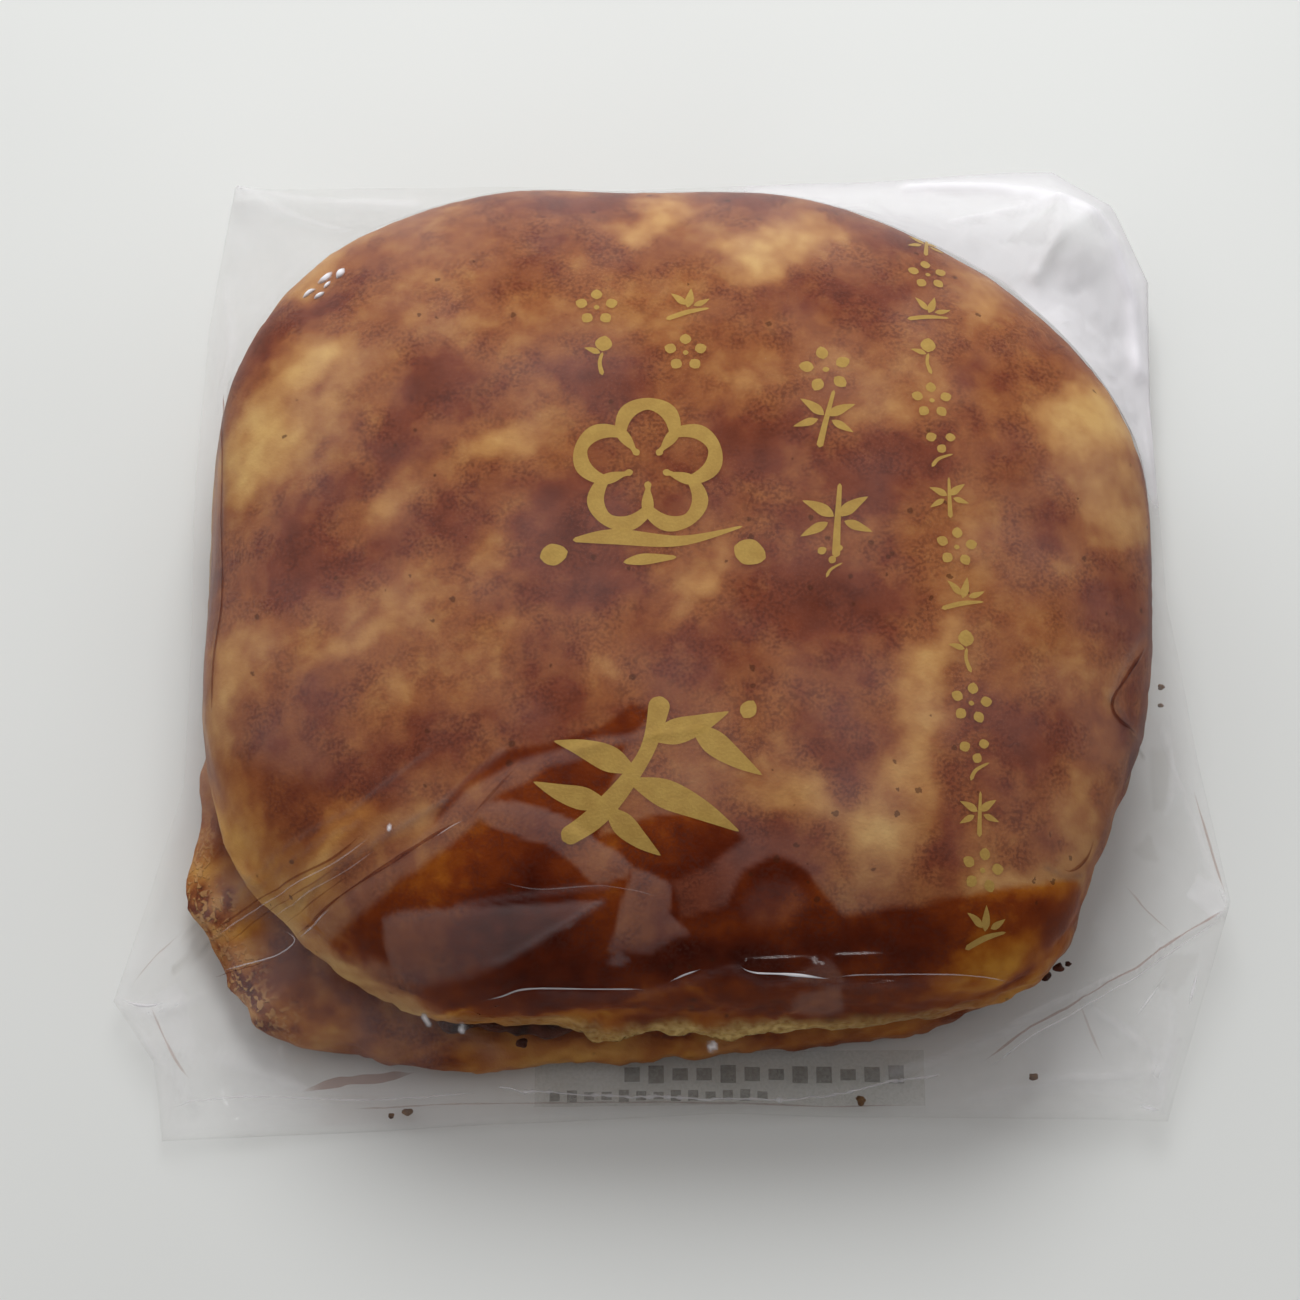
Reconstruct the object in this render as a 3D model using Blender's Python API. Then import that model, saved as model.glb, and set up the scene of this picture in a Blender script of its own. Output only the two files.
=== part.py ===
"""Dorayaki sealed in a clear film bag, lying flat with its browned top up.

The bag and all that it holds are one closed solid. Its upper skin follows the domed upper cake, runs over the
ledge where the lower cake shows beyond it, and falls to a thin loose hem with four uneven corners. Its under side
is the flat patch that the sweet lies on, and rises from there to the hem. Lengths are in millimetres and bearings
in degrees, counted anticlockwise from +X about the cakes' middle. The origin is on the table, under the middle of
the bag's outline; +Y points to the back of the bag.
"""

import math

import bmesh
import bpy
import numpy as np

MM = 0.001

# Driving sizes
CAKE_CENTRE = (1.0, -1.5)
CROWN_HEIGHT = 28.0  # middle of the upper cake
WIDEST_HEIGHT = 11.0  # where the upper cake reaches furthest out
DOME_POWER = 3.0
DOME_ROUNDING = 2.2
LEDGE_HEIGHT = 7.2  # upper side of the lower cake's rim, film included
LEDGE_DROP = 3.6
LEDGE_POWER = 10.0
RIM_SHARE = 0.985  # of the upper cake's reach: the film leaves the cake here
HEM_THICKNESS = 0.9
HEM_SAG = 2.2  # how hollow the film hangs between rim and hem
FLAT_SHARE = 0.84  # of the lower cake's reach: it lies flat inside this

# Outlines, each point on the edge as seen from above
UPPER_CAKE = [
    (45.8, 3.0), (44.8, 15.7), (38.3, 26.7), (27.3, 35.8), (12.9, 41.9), (-3.1, 42.5),
    (-19.5, 42.1), (-34.6, 35.2), (-42.9, 22.2), (-44.0, 4.0), (-44.0, -14.0), (-37.5, -28.5),
    (-25.0, -38.4), (-7.0, -40.8), (14.0, -40.5), (30.5, -38.7), (39.3, -28.7), (44.4, -12.5),
]
LOWER_CAKE = [
    (43.0, -1.0), (41.0, 16.0), (33.0, 28.0), (18.0, 37.0), (0.0, 39.0), (-18.0, 38.0),
    (-34.0, 31.0), (-43.0, 23.0), (-45.2, 7.0), (-45.2, -10.0), (-45.6, -27.0), (-38.5, -39.5),
    (-23.5, -42.8), (-7.0, -42.6), (11.7, -41.1), (27.0, -38.5), (37.0, -28.0), (42.0, -14.0),
]


class HemPoint:
    """A point of the bag's outline: where it is, how high its edge floats, and whether the film turns there."""

    def __init__(self, x, y, height, corner=False):
        self.x = x
        self.y = y
        self.height = height
        self.corner = corner


HEM = [
    HemPoint(48.0, 3.0, 4.6),
    HemPoint(47.3, 24.0, 5.0),
    HemPoint(47.6, 37.0, 6.5, corner=True),
    HemPoint(44.3, 44.6, 7.5),
    HemPoint(38.5, 48.9, 6.5, corner=True),
    HemPoint(18.0, 49.2, 3.6),
    HemPoint(-11.0, 48.8, 2.8),
    HemPoint(-44.5, 49.4, 2.2, corner=True),
    HemPoint(-46.4, 33.0, 3.6),
    HemPoint(-46.9, 16.0, 4.6),
    HemPoint(-46.7, -4.0, 4.4),
    HemPoint(-46.9, -15.5, 3.6),
    HemPoint(-52.6, -36.3, 3.0, corner=True),
    HemPoint(-48.6, -42.1, 2.6),
    HemPoint(-47.6, -49.4, 2.0, corner=True),
    HemPoint(-22.0, -48.0, 1.8),
    HemPoint(4.0, -46.9, 2.2),
    HemPoint(24.0, -47.2, 2.6),
    HemPoint(45.9, -47.8, 3.4, corner=True),
    HemPoint(49.3, -37.3, 4.6),
    HemPoint(52.6, -27.0, 5.2, corner=True),
    HemPoint(50.2, -12.0, 4.8),
]


class Puff:
    """A place where trapped air lifts the upper film: its middle, how far it spreads and how high it lifts."""

    def __init__(self, x, y, spread, lift):
        self.x = x
        self.y = y
        self.spread = spread
        self.lift = lift


PUFFS = [
    Puff(41.0, 40.5, 6.5, 3.4),
    Puff(-42.5, -44.5, 4.5, 1.6),
    Puff(47.0, -31.0, 4.0, 1.8),
    Puff(20.0, -45.0, 4.5, 1.2),
]


class Pleat:
    """A fold that runs out from the rim to the hem: its bearing, half width in degrees, and height."""

    def __init__(self, bearing, half_width, height):
        self.bearing = bearing
        self.half_width = half_width
        self.height = height


PLEATS = [
    Pleat(22.0, 4.0, 0.9),
    Pleat(47.0, 5.0, 1.6),
    Pleat(68.0, 4.0, 0.8),
    Pleat(112.0, 4.5, 0.8),
    Pleat(131.0, 5.0, 1.5),
    Pleat(150.0, 4.0, 0.7),
    Pleat(207.0, 4.0, 0.9),
    Pleat(214.0, 3.5, 1.3),
    Pleat(224.0, 4.5, 1.5),
    Pleat(243.0, 5.0, 0.9),
    Pleat(268.0, 5.5, 0.7),
    Pleat(293.0, 4.5, 1.0),
    Pleat(309.0, 4.0, 1.4),
    Pleat(318.0, 4.0, 1.6),
    Pleat(331.0, 4.0, 1.3),
    Pleat(349.0, 4.0, 0.8),
]
HEM_WAVES = ((7, 0.35, 0.4), (13, 0.22, 1.9), (23, 0.12, 3.1))  # how many, height, phase

# Where the mesh has its lines
BEARING_STEP = 3.0
CORNER_CLEARANCE = 1.4  # no plain bearing comes closer to a corner than this
DOME_RINGS = (0.15, 0.3, 0.45, 0.58, 0.69, 0.78, 0.85, 0.9, 0.94, 0.968, RIM_SHARE)
RIM_TO_LEDGE = (0.2, 0.4, 0.6, 0.8, 1.0)
LEDGE_TO_HEM = (0.15, 0.35, 0.55, 0.78, 1.0)
LEDGE_LINE = (0.25, 0.72)  # the ledge's ring stays between these shares of the way out
UNDER_RINGS = (0.85, 0.62, 0.4, 0.2, 0.0)
SPLINE_STEPS = 24

FILM_COLOUR = (0.82, 0.83, 0.83, 1.0)
FILM_ROUGHNESS = 0.18


def closed_spline(points):
    """Points along a smooth closed curve through the given ones."""
    knots = np.array(points, float)
    t = np.linspace(0.0, 1.0, SPLINE_STEPS, endpoint=False)[:, None]
    spans = []
    for i in range(len(knots)):
        before, start, end, after = (knots[(i + k) % len(knots)] for k in (-1, 0, 1, 2))
        spans.append(
            0.5 * (2 * start + (end - before) * t
                   + (2 * before - 5 * start + 4 * end - after) * t ** 2
                   + (3 * start - before - 3 * end + after) * t ** 3)
        )
    return np.vstack(spans)


def closed_polyline(points):
    """Points along the straight runs between the given ones."""
    knots = np.array(points, float)
    t = np.linspace(0.0, 1.0, SPLINE_STEPS, endpoint=False)[:, None]
    return np.vstack([a + (b - a) * t for a, b in zip(knots, np.roll(knots, -1, axis=0))])


def bearings_of(points):
    """The bearing of each point from the cakes' middle, from 0 to 360."""
    away = np.asarray(points, float)[:, :2] - CAKE_CENTRE
    return np.degrees(np.arctan2(away[:, 1], away[:, 0])) % 360.0


def around(bearing, known_at, known):
    """A value that is known at some bearings, at any bearing."""
    return np.interp(bearing, known_at, known, period=360.0)


class Outline:
    """A closed line round the cakes' middle, read as a reach for each bearing."""

    def __init__(self, line):
        self.at = bearings_of(line)
        self.far = np.hypot(*(line - np.array(CAKE_CENTRE)).T)

    def reach(self, bearing):
        return around(bearing, self.at, self.far)


upper_outline = Outline(closed_spline(UPPER_CAKE))
lower_outline = Outline(closed_spline(LOWER_CAKE))
hem_outline = Outline(closed_polyline([(p.x, p.y) for p in HEM]))
HEM_BEARINGS = bearings_of([(p.x, p.y) for p in HEM])
HEM_HEIGHTS = [p.height for p in HEM]


def hem_height(bearing):
    """How high the hem's upper film floats above the table."""
    height = around(bearing, HEM_BEARINGS, HEM_HEIGHTS)
    for count, lift, phase in HEM_WAVES:
        height = height + lift * np.sin(count * np.radians(bearing) + phase)
    return height


def dome(share):
    """Height of the upper cake's skin, at a share of its reach."""
    fullness = np.clip(1.0 - share ** DOME_POWER, 0.0, 1.0) ** (1.0 / DOME_ROUNDING)
    return WIDEST_HEIGHT + (CROWN_HEIGHT - WIDEST_HEIGHT) * fullness


def ledge(share):
    """Height of the lower cake's rim, at a share of its reach, and well below it further out."""
    fullness = np.sqrt(np.clip(1.0 - share ** LEDGE_POWER, 0.0, 1.0))
    return np.where(share < 1.0, LEDGE_HEIGHT - LEDGE_DROP * (1.0 - fullness), 0.0)


def pleat_height(bearing, out):
    """How much the pleats lift the film, at a share of the way from rim to hem."""
    lift = np.zeros_like(bearing)
    for pleat in PLEATS:
        off = np.abs((bearing - pleat.bearing + 180.0) % 360.0 - 180.0)
        lift = lift + pleat.height * np.clip(1.0 - off / pleat.half_width, 0.0, 1.0)
    return lift * np.sin(math.pi * np.clip(out, 0.0, 1.0) ** 0.8) ** 0.8


def upper_film(bearing, radius):
    """Height of the bag's upper skin."""
    cake, hem = upper_outline.reach(bearing), hem_outline.reach(bearing)
    rim = RIM_SHARE * cake
    out = np.clip((radius - rim) / (hem - rim), 0.0, 1.0)
    hem_at = hem_height(bearing)
    hanging = hem_at + (dome(RIM_SHARE) - hem_at) * (1.0 - out) ** HEM_SAG + pleat_height(bearing, out)
    shelf = ledge(radius / lower_outline.reach(bearing))
    x = CAKE_CENTRE[0] + radius * np.cos(np.radians(bearing))
    y = CAKE_CENTRE[1] + radius * np.sin(np.radians(bearing))
    puffed = sum(
        puff.lift * np.exp(-((x - puff.x) ** 2 + (y - puff.y) ** 2) / puff.spread ** 2) for puff in PUFFS
    )
    free = np.maximum(hanging, shelf) + puffed * np.sin(math.pi * out ** 1.2)
    return np.where(radius <= rim, dome(radius / cake), free)


def under_film(bearing, radius):
    """Height of the bag's under skin: flat beneath the cakes, then up to the hem."""
    flat, hem = FLAT_SHARE * lower_outline.reach(bearing), hem_outline.reach(bearing)
    out = np.clip((radius - flat) / (hem - flat), 0.0, 1.0)
    return (hem_height(bearing) - HEM_THICKNESS) * out ** 1.6


def mesh_bearings():
    """Evenly spaced bearings, with one on each turn of the hem."""
    corners = [b for b, p in zip(HEM_BEARINGS, HEM) if p.corner]
    plain = np.arange(0.0, 360.0, BEARING_STEP)
    apart = [min(abs((b - c + 180.0) % 360.0 - 180.0) for c in corners) for b in plain]
    return np.array(sorted([b for b, gap in zip(plain, apart) if gap > CORNER_CLEARANCE] + corners))


def ring_radii(bearing):
    """The radii of the upper skin's rings, from the middle out."""
    cake, hem = upper_outline.reach(bearing), hem_outline.reach(bearing)
    rim = RIM_SHARE * cake
    nearest, furthest = (rim + share * (hem - rim) for share in LEDGE_LINE)
    ledge_at = np.clip(lower_outline.reach(bearing), nearest, furthest)
    rings = [share * cake for share in DOME_RINGS]
    rings += [rim + share * (ledge_at - rim) for share in RIM_TO_LEDGE]
    rings += [ledge_at + share * (hem - ledge_at) for share in LEDGE_TO_HEM]
    return rings


def under_radii(bearing):
    """The radii of the under skin's rings, from the hem in."""
    flat, hem = FLAT_SHARE * lower_outline.reach(bearing), hem_outline.reach(bearing)
    return [hem] + [flat + share * (hem - flat) for share in UNDER_RINGS]


def ring_of_points(bm, bearing, radius, height):
    """One closed ring of vertices."""
    x = CAKE_CENTRE[0] + radius * np.cos(np.radians(bearing))
    y = CAKE_CENTRE[1] + radius * np.sin(np.radians(bearing))
    return [bm.verts.new((a * MM, b * MM, c * MM)) for a, b, c in zip(x, y, height)]


def join_rings(bm, inner, outer):
    """Quads between two rings."""
    for i in range(len(inner)):
        k = (i + 1) % len(inner)
        bm.faces.new((inner[i], outer[i], outer[k], inner[k]))


def bag_mesh():
    """The whole bag as one closed mesh: upper skin, narrow hem edge and under skin."""
    bm = bmesh.new()
    bearing = mesh_bearings()
    rings = [ring_of_points(bm, bearing, r, upper_film(bearing, r)) for r in ring_radii(bearing)]
    rings += [ring_of_points(bm, bearing, r, under_film(bearing, r)) for r in under_radii(bearing)]
    crown = bm.verts.new((CAKE_CENTRE[0] * MM, CAKE_CENTRE[1] * MM, CROWN_HEIGHT * MM))
    for i, point in enumerate(rings[0]):
        bm.faces.new((crown, point, rings[0][(i + 1) % len(rings[0])]))
    for inner, outer in zip(rings, rings[1:]):
        join_rings(bm, inner, outer)
    bm.faces.new(reversed(rings[-1]))
    bmesh.ops.triangulate(bm, faces=[f for f in bm.faces if len(f.verts) > 4])
    bmesh.ops.recalc_face_normals(bm, faces=bm.faces)
    mesh = bpy.data.meshes.new("film_bag")
    bm.to_mesh(mesh)
    bm.free()
    return mesh


def film_material():
    """The bag's clear film, as a plain pale surface."""
    material = bpy.data.materials.new("clear_film")
    material.use_nodes = True
    surface = material.node_tree.nodes["Principled BSDF"]
    surface.inputs["Base Color"].default_value = FILM_COLOUR
    surface.inputs["Roughness"].default_value = FILM_ROUGHNESS
    surface.inputs["Metallic"].default_value = 0.0
    return material


def main():
    for old in list(bpy.data.objects):
        bpy.data.objects.remove(old)
    bag = bpy.data.objects.new("film_bag", bag_mesh())
    bag.data.materials.append(film_material())
    bag.data.shade_smooth()
    bpy.context.scene.collection.objects.link(bag)


main()
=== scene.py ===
"""Looks of a dorayaki sealed in a clear film bag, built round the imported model's frame.

Two browned cakes with bean paste between them lie in a bag of thin clear film with gold print on its upper
side. Lengths in this file are in millimetres and angles in degrees, with bearings counted anticlockwise from
+X about the cakes' middle. Meshes are written in metres. The origin is on the table, under the bag's middle.
"""

import logging
import math
from dataclasses import dataclass, field
from enum import Enum
from typing import Sequence

import bmesh
import bpy
import numpy as np
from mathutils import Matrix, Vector


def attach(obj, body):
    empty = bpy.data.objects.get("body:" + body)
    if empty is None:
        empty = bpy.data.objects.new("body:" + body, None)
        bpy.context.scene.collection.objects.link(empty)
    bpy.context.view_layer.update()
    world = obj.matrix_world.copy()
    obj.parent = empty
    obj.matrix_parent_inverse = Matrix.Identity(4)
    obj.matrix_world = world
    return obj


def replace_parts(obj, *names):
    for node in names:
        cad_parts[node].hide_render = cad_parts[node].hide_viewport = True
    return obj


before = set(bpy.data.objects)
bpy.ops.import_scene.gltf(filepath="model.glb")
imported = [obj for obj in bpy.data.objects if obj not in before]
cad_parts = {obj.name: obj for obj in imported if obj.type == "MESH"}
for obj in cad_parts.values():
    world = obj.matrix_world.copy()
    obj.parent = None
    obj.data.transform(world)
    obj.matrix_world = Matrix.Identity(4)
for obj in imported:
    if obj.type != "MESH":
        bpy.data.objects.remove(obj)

Array = np.ndarray
Point = tuple[float, float]
Colour = tuple[float, float, float]
Stops = tuple[tuple[float, Colour], ...]
Place = tuple[float, float, float]
Push = tuple[float, float, float]
Mesh = bpy.types.Mesh
Material = bpy.types.Material
Node = bpy.types.Node
Piece = bpy.types.Object
Socket = bpy.types.NodeSocket
Tree = bpy.types.NodeTree

MM = 0.001
BODY = "root"
SPLINE_STEPS = 24

log = logging.getLogger("dorayaki")


class Slot(Enum):
    """The record's material slots."""

    FILM = "clear_film"
    CAKE = "browned_cake"
    PASTE = "bean_paste"
    INK = "gold_ink"


# Curves, noise and distances


def smooth_step(value: Array, low: float, high: float) -> Array:
    """Eases from 0 to 1.

    Args:
        value: What is eased.
        low: Where the result is 0.
        high: Where the result is 1.

    Returns:
        The eased values.
    """
    t = np.clip((value - low) / (high - low), 0.0, 1.0)
    return t * t * (3.0 - 2.0 * t)


def spline(points: Sequence[Sequence[float]], closed: bool, steps: int = SPLINE_STEPS) -> Array:
    """Follows a smooth Catmull-Rom curve through points of any number of coordinates.

    Args:
        points: The points that the curve passes.
        closed: Whether the curve returns to its first point.
        steps: How many points each span gets.

    Returns:
        The points along the curve, one row each.
    """
    knots = np.array(points, float)
    count = len(knots)
    t = np.linspace(0.0, 1.0, steps, endpoint=False)[:, None]
    spans = []
    for i in range(count if closed else count - 1):
        wanted = [i - 1, i, i + 1, i + 2]
        picked = [k % count for k in wanted] if closed else [min(max(k, 0), count - 1) for k in wanted]
        before, start, end, after = knots[picked]
        spans.append(
            0.5 * (2 * start + (end - before) * t
                   + (2 * before - 5 * start + 4 * end - after) * t ** 2
                   + (3 * start - before - 3 * end + after) * t ** 3)
        )
    if not closed:
        spans.append(knots[-1:])
    return np.vstack(spans)


def bearing_of(across: Array, along: Array) -> Array:
    """Gives the bearings of places from how far along x and y they are from the middle."""
    return np.degrees(np.arctan2(along, across)) % 360.0


def apart(bearing: Array, other: float) -> Array:
    """Gives how far bearings are from another one, the short way round."""
    return np.abs((bearing - other + 180.0) % 360.0 - 180.0)


def run_along(line: Array) -> Array:
    """Gives how far along a line of x and y each of its points is."""
    return np.append(0.0, np.cumsum(np.hypot(*np.diff(line[:, :2], axis=0).T)))


def straight_runs(points: Sequence[Point], steps: int = SPLINE_STEPS) -> Array:
    """Follows the straight sides of a closed figure.

    Args:
        points: Its corners.
        steps: How many points each side gets.

    Returns:
        The points along the sides.
    """
    knots = np.array(points, float)
    t = np.linspace(0.0, 1.0, steps, endpoint=False)[:, None]
    return np.vstack([a + (b - a) * t for a, b in zip(knots, np.roll(knots, -1, axis=0))])


def line_distance(x: Array, y: Array, points: Sequence[Sequence[float]]) -> Array:
    """Measures how far places are from an open line of straight pieces.

    Args:
        x: The places' x.
        y: The places' y.
        points: The line's points.

    Returns:
        The distance of each place.
    """
    nearest = np.full(x.shape, np.inf)
    for (ax, ay), (bx, by) in zip(points, points[1:]):
        dx, dy = bx - ax, by - ay
        t = np.clip(((x - ax) * dx + (y - ay) * dy) / (dx * dx + dy * dy + 1e-12), 0.0, 1.0)
        nearest = np.minimum(nearest, np.hypot(x - ax - t * dx, y - ay - t * dy))
    return nearest


def depth_inside(x: Array, y: Array, points: Sequence[Point]) -> Array:
    """Measures how deep places lie inside a closed figure.

    Args:
        x: The places' x.
        y: The places' y.
        points: The figure's corners.

    Returns:
        The distance to its edge, negative outside it.
    """
    inside = np.zeros(x.shape, bool)
    ring = list(points) + [points[0]]
    for (ax, ay), (bx, by) in zip(ring, ring[1:]):
        if ay != by:
            inside ^= ((ay > y) != (by > y)) & (x < (bx - ax) * (y - ay) / (by - ay) + ax)
    return np.where(inside, 1.0, -1.0) * line_distance(x, y, ring)


@dataclass(frozen=True)
class Grain:
    """One layer of unevenness.

    It has a strength, the size of its cells, how many finer layers it sums, and a shift that keeps it apart
    from other layers. A folded one has sharp valleys instead of smooth ones.
    """

    strength: float
    size: float
    layers: int = 1
    shift: Point = (0.0, 0.0)
    folded: bool = False


class SmoothNoise:
    """Seeded smooth noise over a square lattice, from about -1 to 1."""

    CELLS = 61

    def __init__(self, seed: int) -> None:
        """Draws the lattice's values from the seed."""
        self.lattice = np.random.default_rng(seed).uniform(-1.0, 1.0, (self.CELLS, self.CELLS))

    def at(self, x: Array, y: Array, size: float, layers: int = 1) -> Array:
        """Reads the noise.

        Args:
            x: The places' x.
            y: The places' y.
            size: One cell of the coarsest layer.
            layers: How many layers are added, each half as large and half as strong as the one before.

        Returns:
            The noise at each place.
        """
        total = np.zeros(np.broadcast(x, y).shape)
        for layer in range(layers):
            u, v = (np.asarray(w) * 2 ** layer / size + 17.3 * layer for w in (x, y))
            i, k = np.floor(u).astype(int), np.floor(v).astype(int)
            s, t = (w * w * (3.0 - 2.0 * w) for w in (u - i, v - k))
            corner = {(a, b): self.lattice[(i + a) % self.CELLS, (k + b) % self.CELLS]
                      for a in (0, 1) for b in (0, 1)}
            low = corner[0, 0] * (1 - s) + corner[1, 0] * s
            high = corner[0, 1] * (1 - s) + corner[1, 1] * s
            total = total + (low * (1 - t) + high * t) / 2 ** layer
        return total

    def sum(self, x: Array, y: Array, *grains: Grain) -> Array:
        """Adds layers of unevenness.

        Args:
            x: The places' x.
            y: The places' y.
            *grains: The layers.

        Returns:
            Their sum at each place.
        """
        total = 0.0
        for grain in grains:
            value = self.at(x + grain.shift[0], y + grain.shift[1], grain.size, grain.layers)
            total = total + grain.strength * (np.abs(value) if grain.folded else value)
        return total


class Outline:
    """A closed line round the cakes' middle, read as a reach for each bearing."""

    def __init__(self, line: Array, centre: Point) -> None:
        """Reads the line's bearings and reaches about the centre."""
        away = line - np.array(centre)
        self.at = bearing_of(away[:, 0], away[:, 1])
        self.far = np.hypot(away[:, 0], away[:, 1])

    def reach(self, bearing: Array) -> Array:
        """Gives the distance from the centre to the line at each bearing."""
        return np.interp(bearing, self.at, self.far, period=360.0)


# The bag and the cakes, as the model has them


@dataclass(frozen=True)
class HemPoint:
    """A point of the bag's outline: where it is, how high it floats, and whether the film turns there."""

    x: float
    y: float
    height: float
    corner: bool = False


@dataclass(frozen=True)
class Puff:
    """A place where trapped air lifts the upper film."""

    x: float
    y: float
    spread: float
    lift: float


@dataclass(frozen=True)
class Pleat:
    """A fold that runs out from the rim to the hem."""

    bearing: float
    half_width: float
    height: float


UPPER_CAKE = (
    (45.8, 3.0), (44.8, 15.7), (38.3, 26.7), (27.3, 35.8), (12.9, 41.9), (-3.1, 42.5),
    (-19.5, 42.1), (-34.6, 35.2), (-42.9, 22.2), (-44.0, 4.0), (-44.0, -14.0), (-37.5, -28.5),
    (-25.0, -38.4), (-7.0, -40.8), (14.0, -40.5), (30.5, -38.7), (39.3, -28.7), (44.4, -12.5),
)
LOWER_CAKE = (
    (43.0, -1.0), (41.0, 16.0), (33.0, 28.0), (18.0, 37.0), (0.0, 39.0), (-18.0, 38.0),
    (-34.0, 31.0), (-43.0, 23.0), (-45.2, 7.0), (-45.2, -10.0), (-45.6, -27.0), (-38.5, -39.5),
    (-23.5, -42.8), (-7.0, -42.6), (11.7, -41.1), (27.0, -38.5), (37.0, -28.0), (42.0, -14.0),
)
HEM = (
    HemPoint(48.0, 3.0, 4.6),
    HemPoint(47.3, 24.0, 5.0),
    HemPoint(47.6, 37.0, 6.5, corner=True),
    HemPoint(44.3, 44.6, 7.5),
    HemPoint(38.5, 48.9, 6.5, corner=True),
    HemPoint(18.0, 49.2, 3.6),
    HemPoint(-11.0, 48.8, 2.8),
    HemPoint(-44.5, 49.4, 2.2, corner=True),
    HemPoint(-46.4, 33.0, 3.6),
    HemPoint(-46.9, 16.0, 4.6),
    HemPoint(-46.7, -4.0, 4.4),
    HemPoint(-46.9, -15.5, 3.6),
    HemPoint(-52.6, -36.3, 3.0, corner=True),
    HemPoint(-48.6, -42.1, 2.6),
    HemPoint(-47.6, -49.4, 2.0, corner=True),
    HemPoint(-22.0, -48.0, 1.8),
    HemPoint(4.0, -46.9, 2.2),
    HemPoint(24.0, -47.2, 2.6),
    HemPoint(45.9, -47.8, 3.4, corner=True),
    HemPoint(49.3, -37.3, 4.6),
    HemPoint(52.6, -27.0, 5.2, corner=True),
    HemPoint(50.2, -12.0, 4.8),
)
PUFFS = (
    Puff(41.0, 40.5, 6.5, 3.4),
    Puff(-42.5, -44.5, 4.5, 1.6),
    Puff(47.0, -31.0, 4.0, 1.8),
    Puff(20.0, -45.0, 4.5, 1.2),
)
PLEATS = (
    Pleat(22.0, 4.0, 0.9), Pleat(47.0, 5.0, 1.6), Pleat(68.0, 4.0, 0.8), Pleat(112.0, 4.5, 0.8),
    Pleat(131.0, 5.0, 1.5), Pleat(150.0, 4.0, 0.7), Pleat(207.0, 4.0, 0.9), Pleat(214.0, 3.5, 1.3),
    Pleat(224.0, 4.5, 1.5), Pleat(243.0, 5.0, 0.9), Pleat(268.0, 5.5, 0.7), Pleat(293.0, 4.5, 1.0),
    Pleat(309.0, 4.0, 1.4), Pleat(318.0, 4.0, 1.6), Pleat(331.0, 4.0, 1.3), Pleat(349.0, 4.0, 0.8),
)


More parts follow.
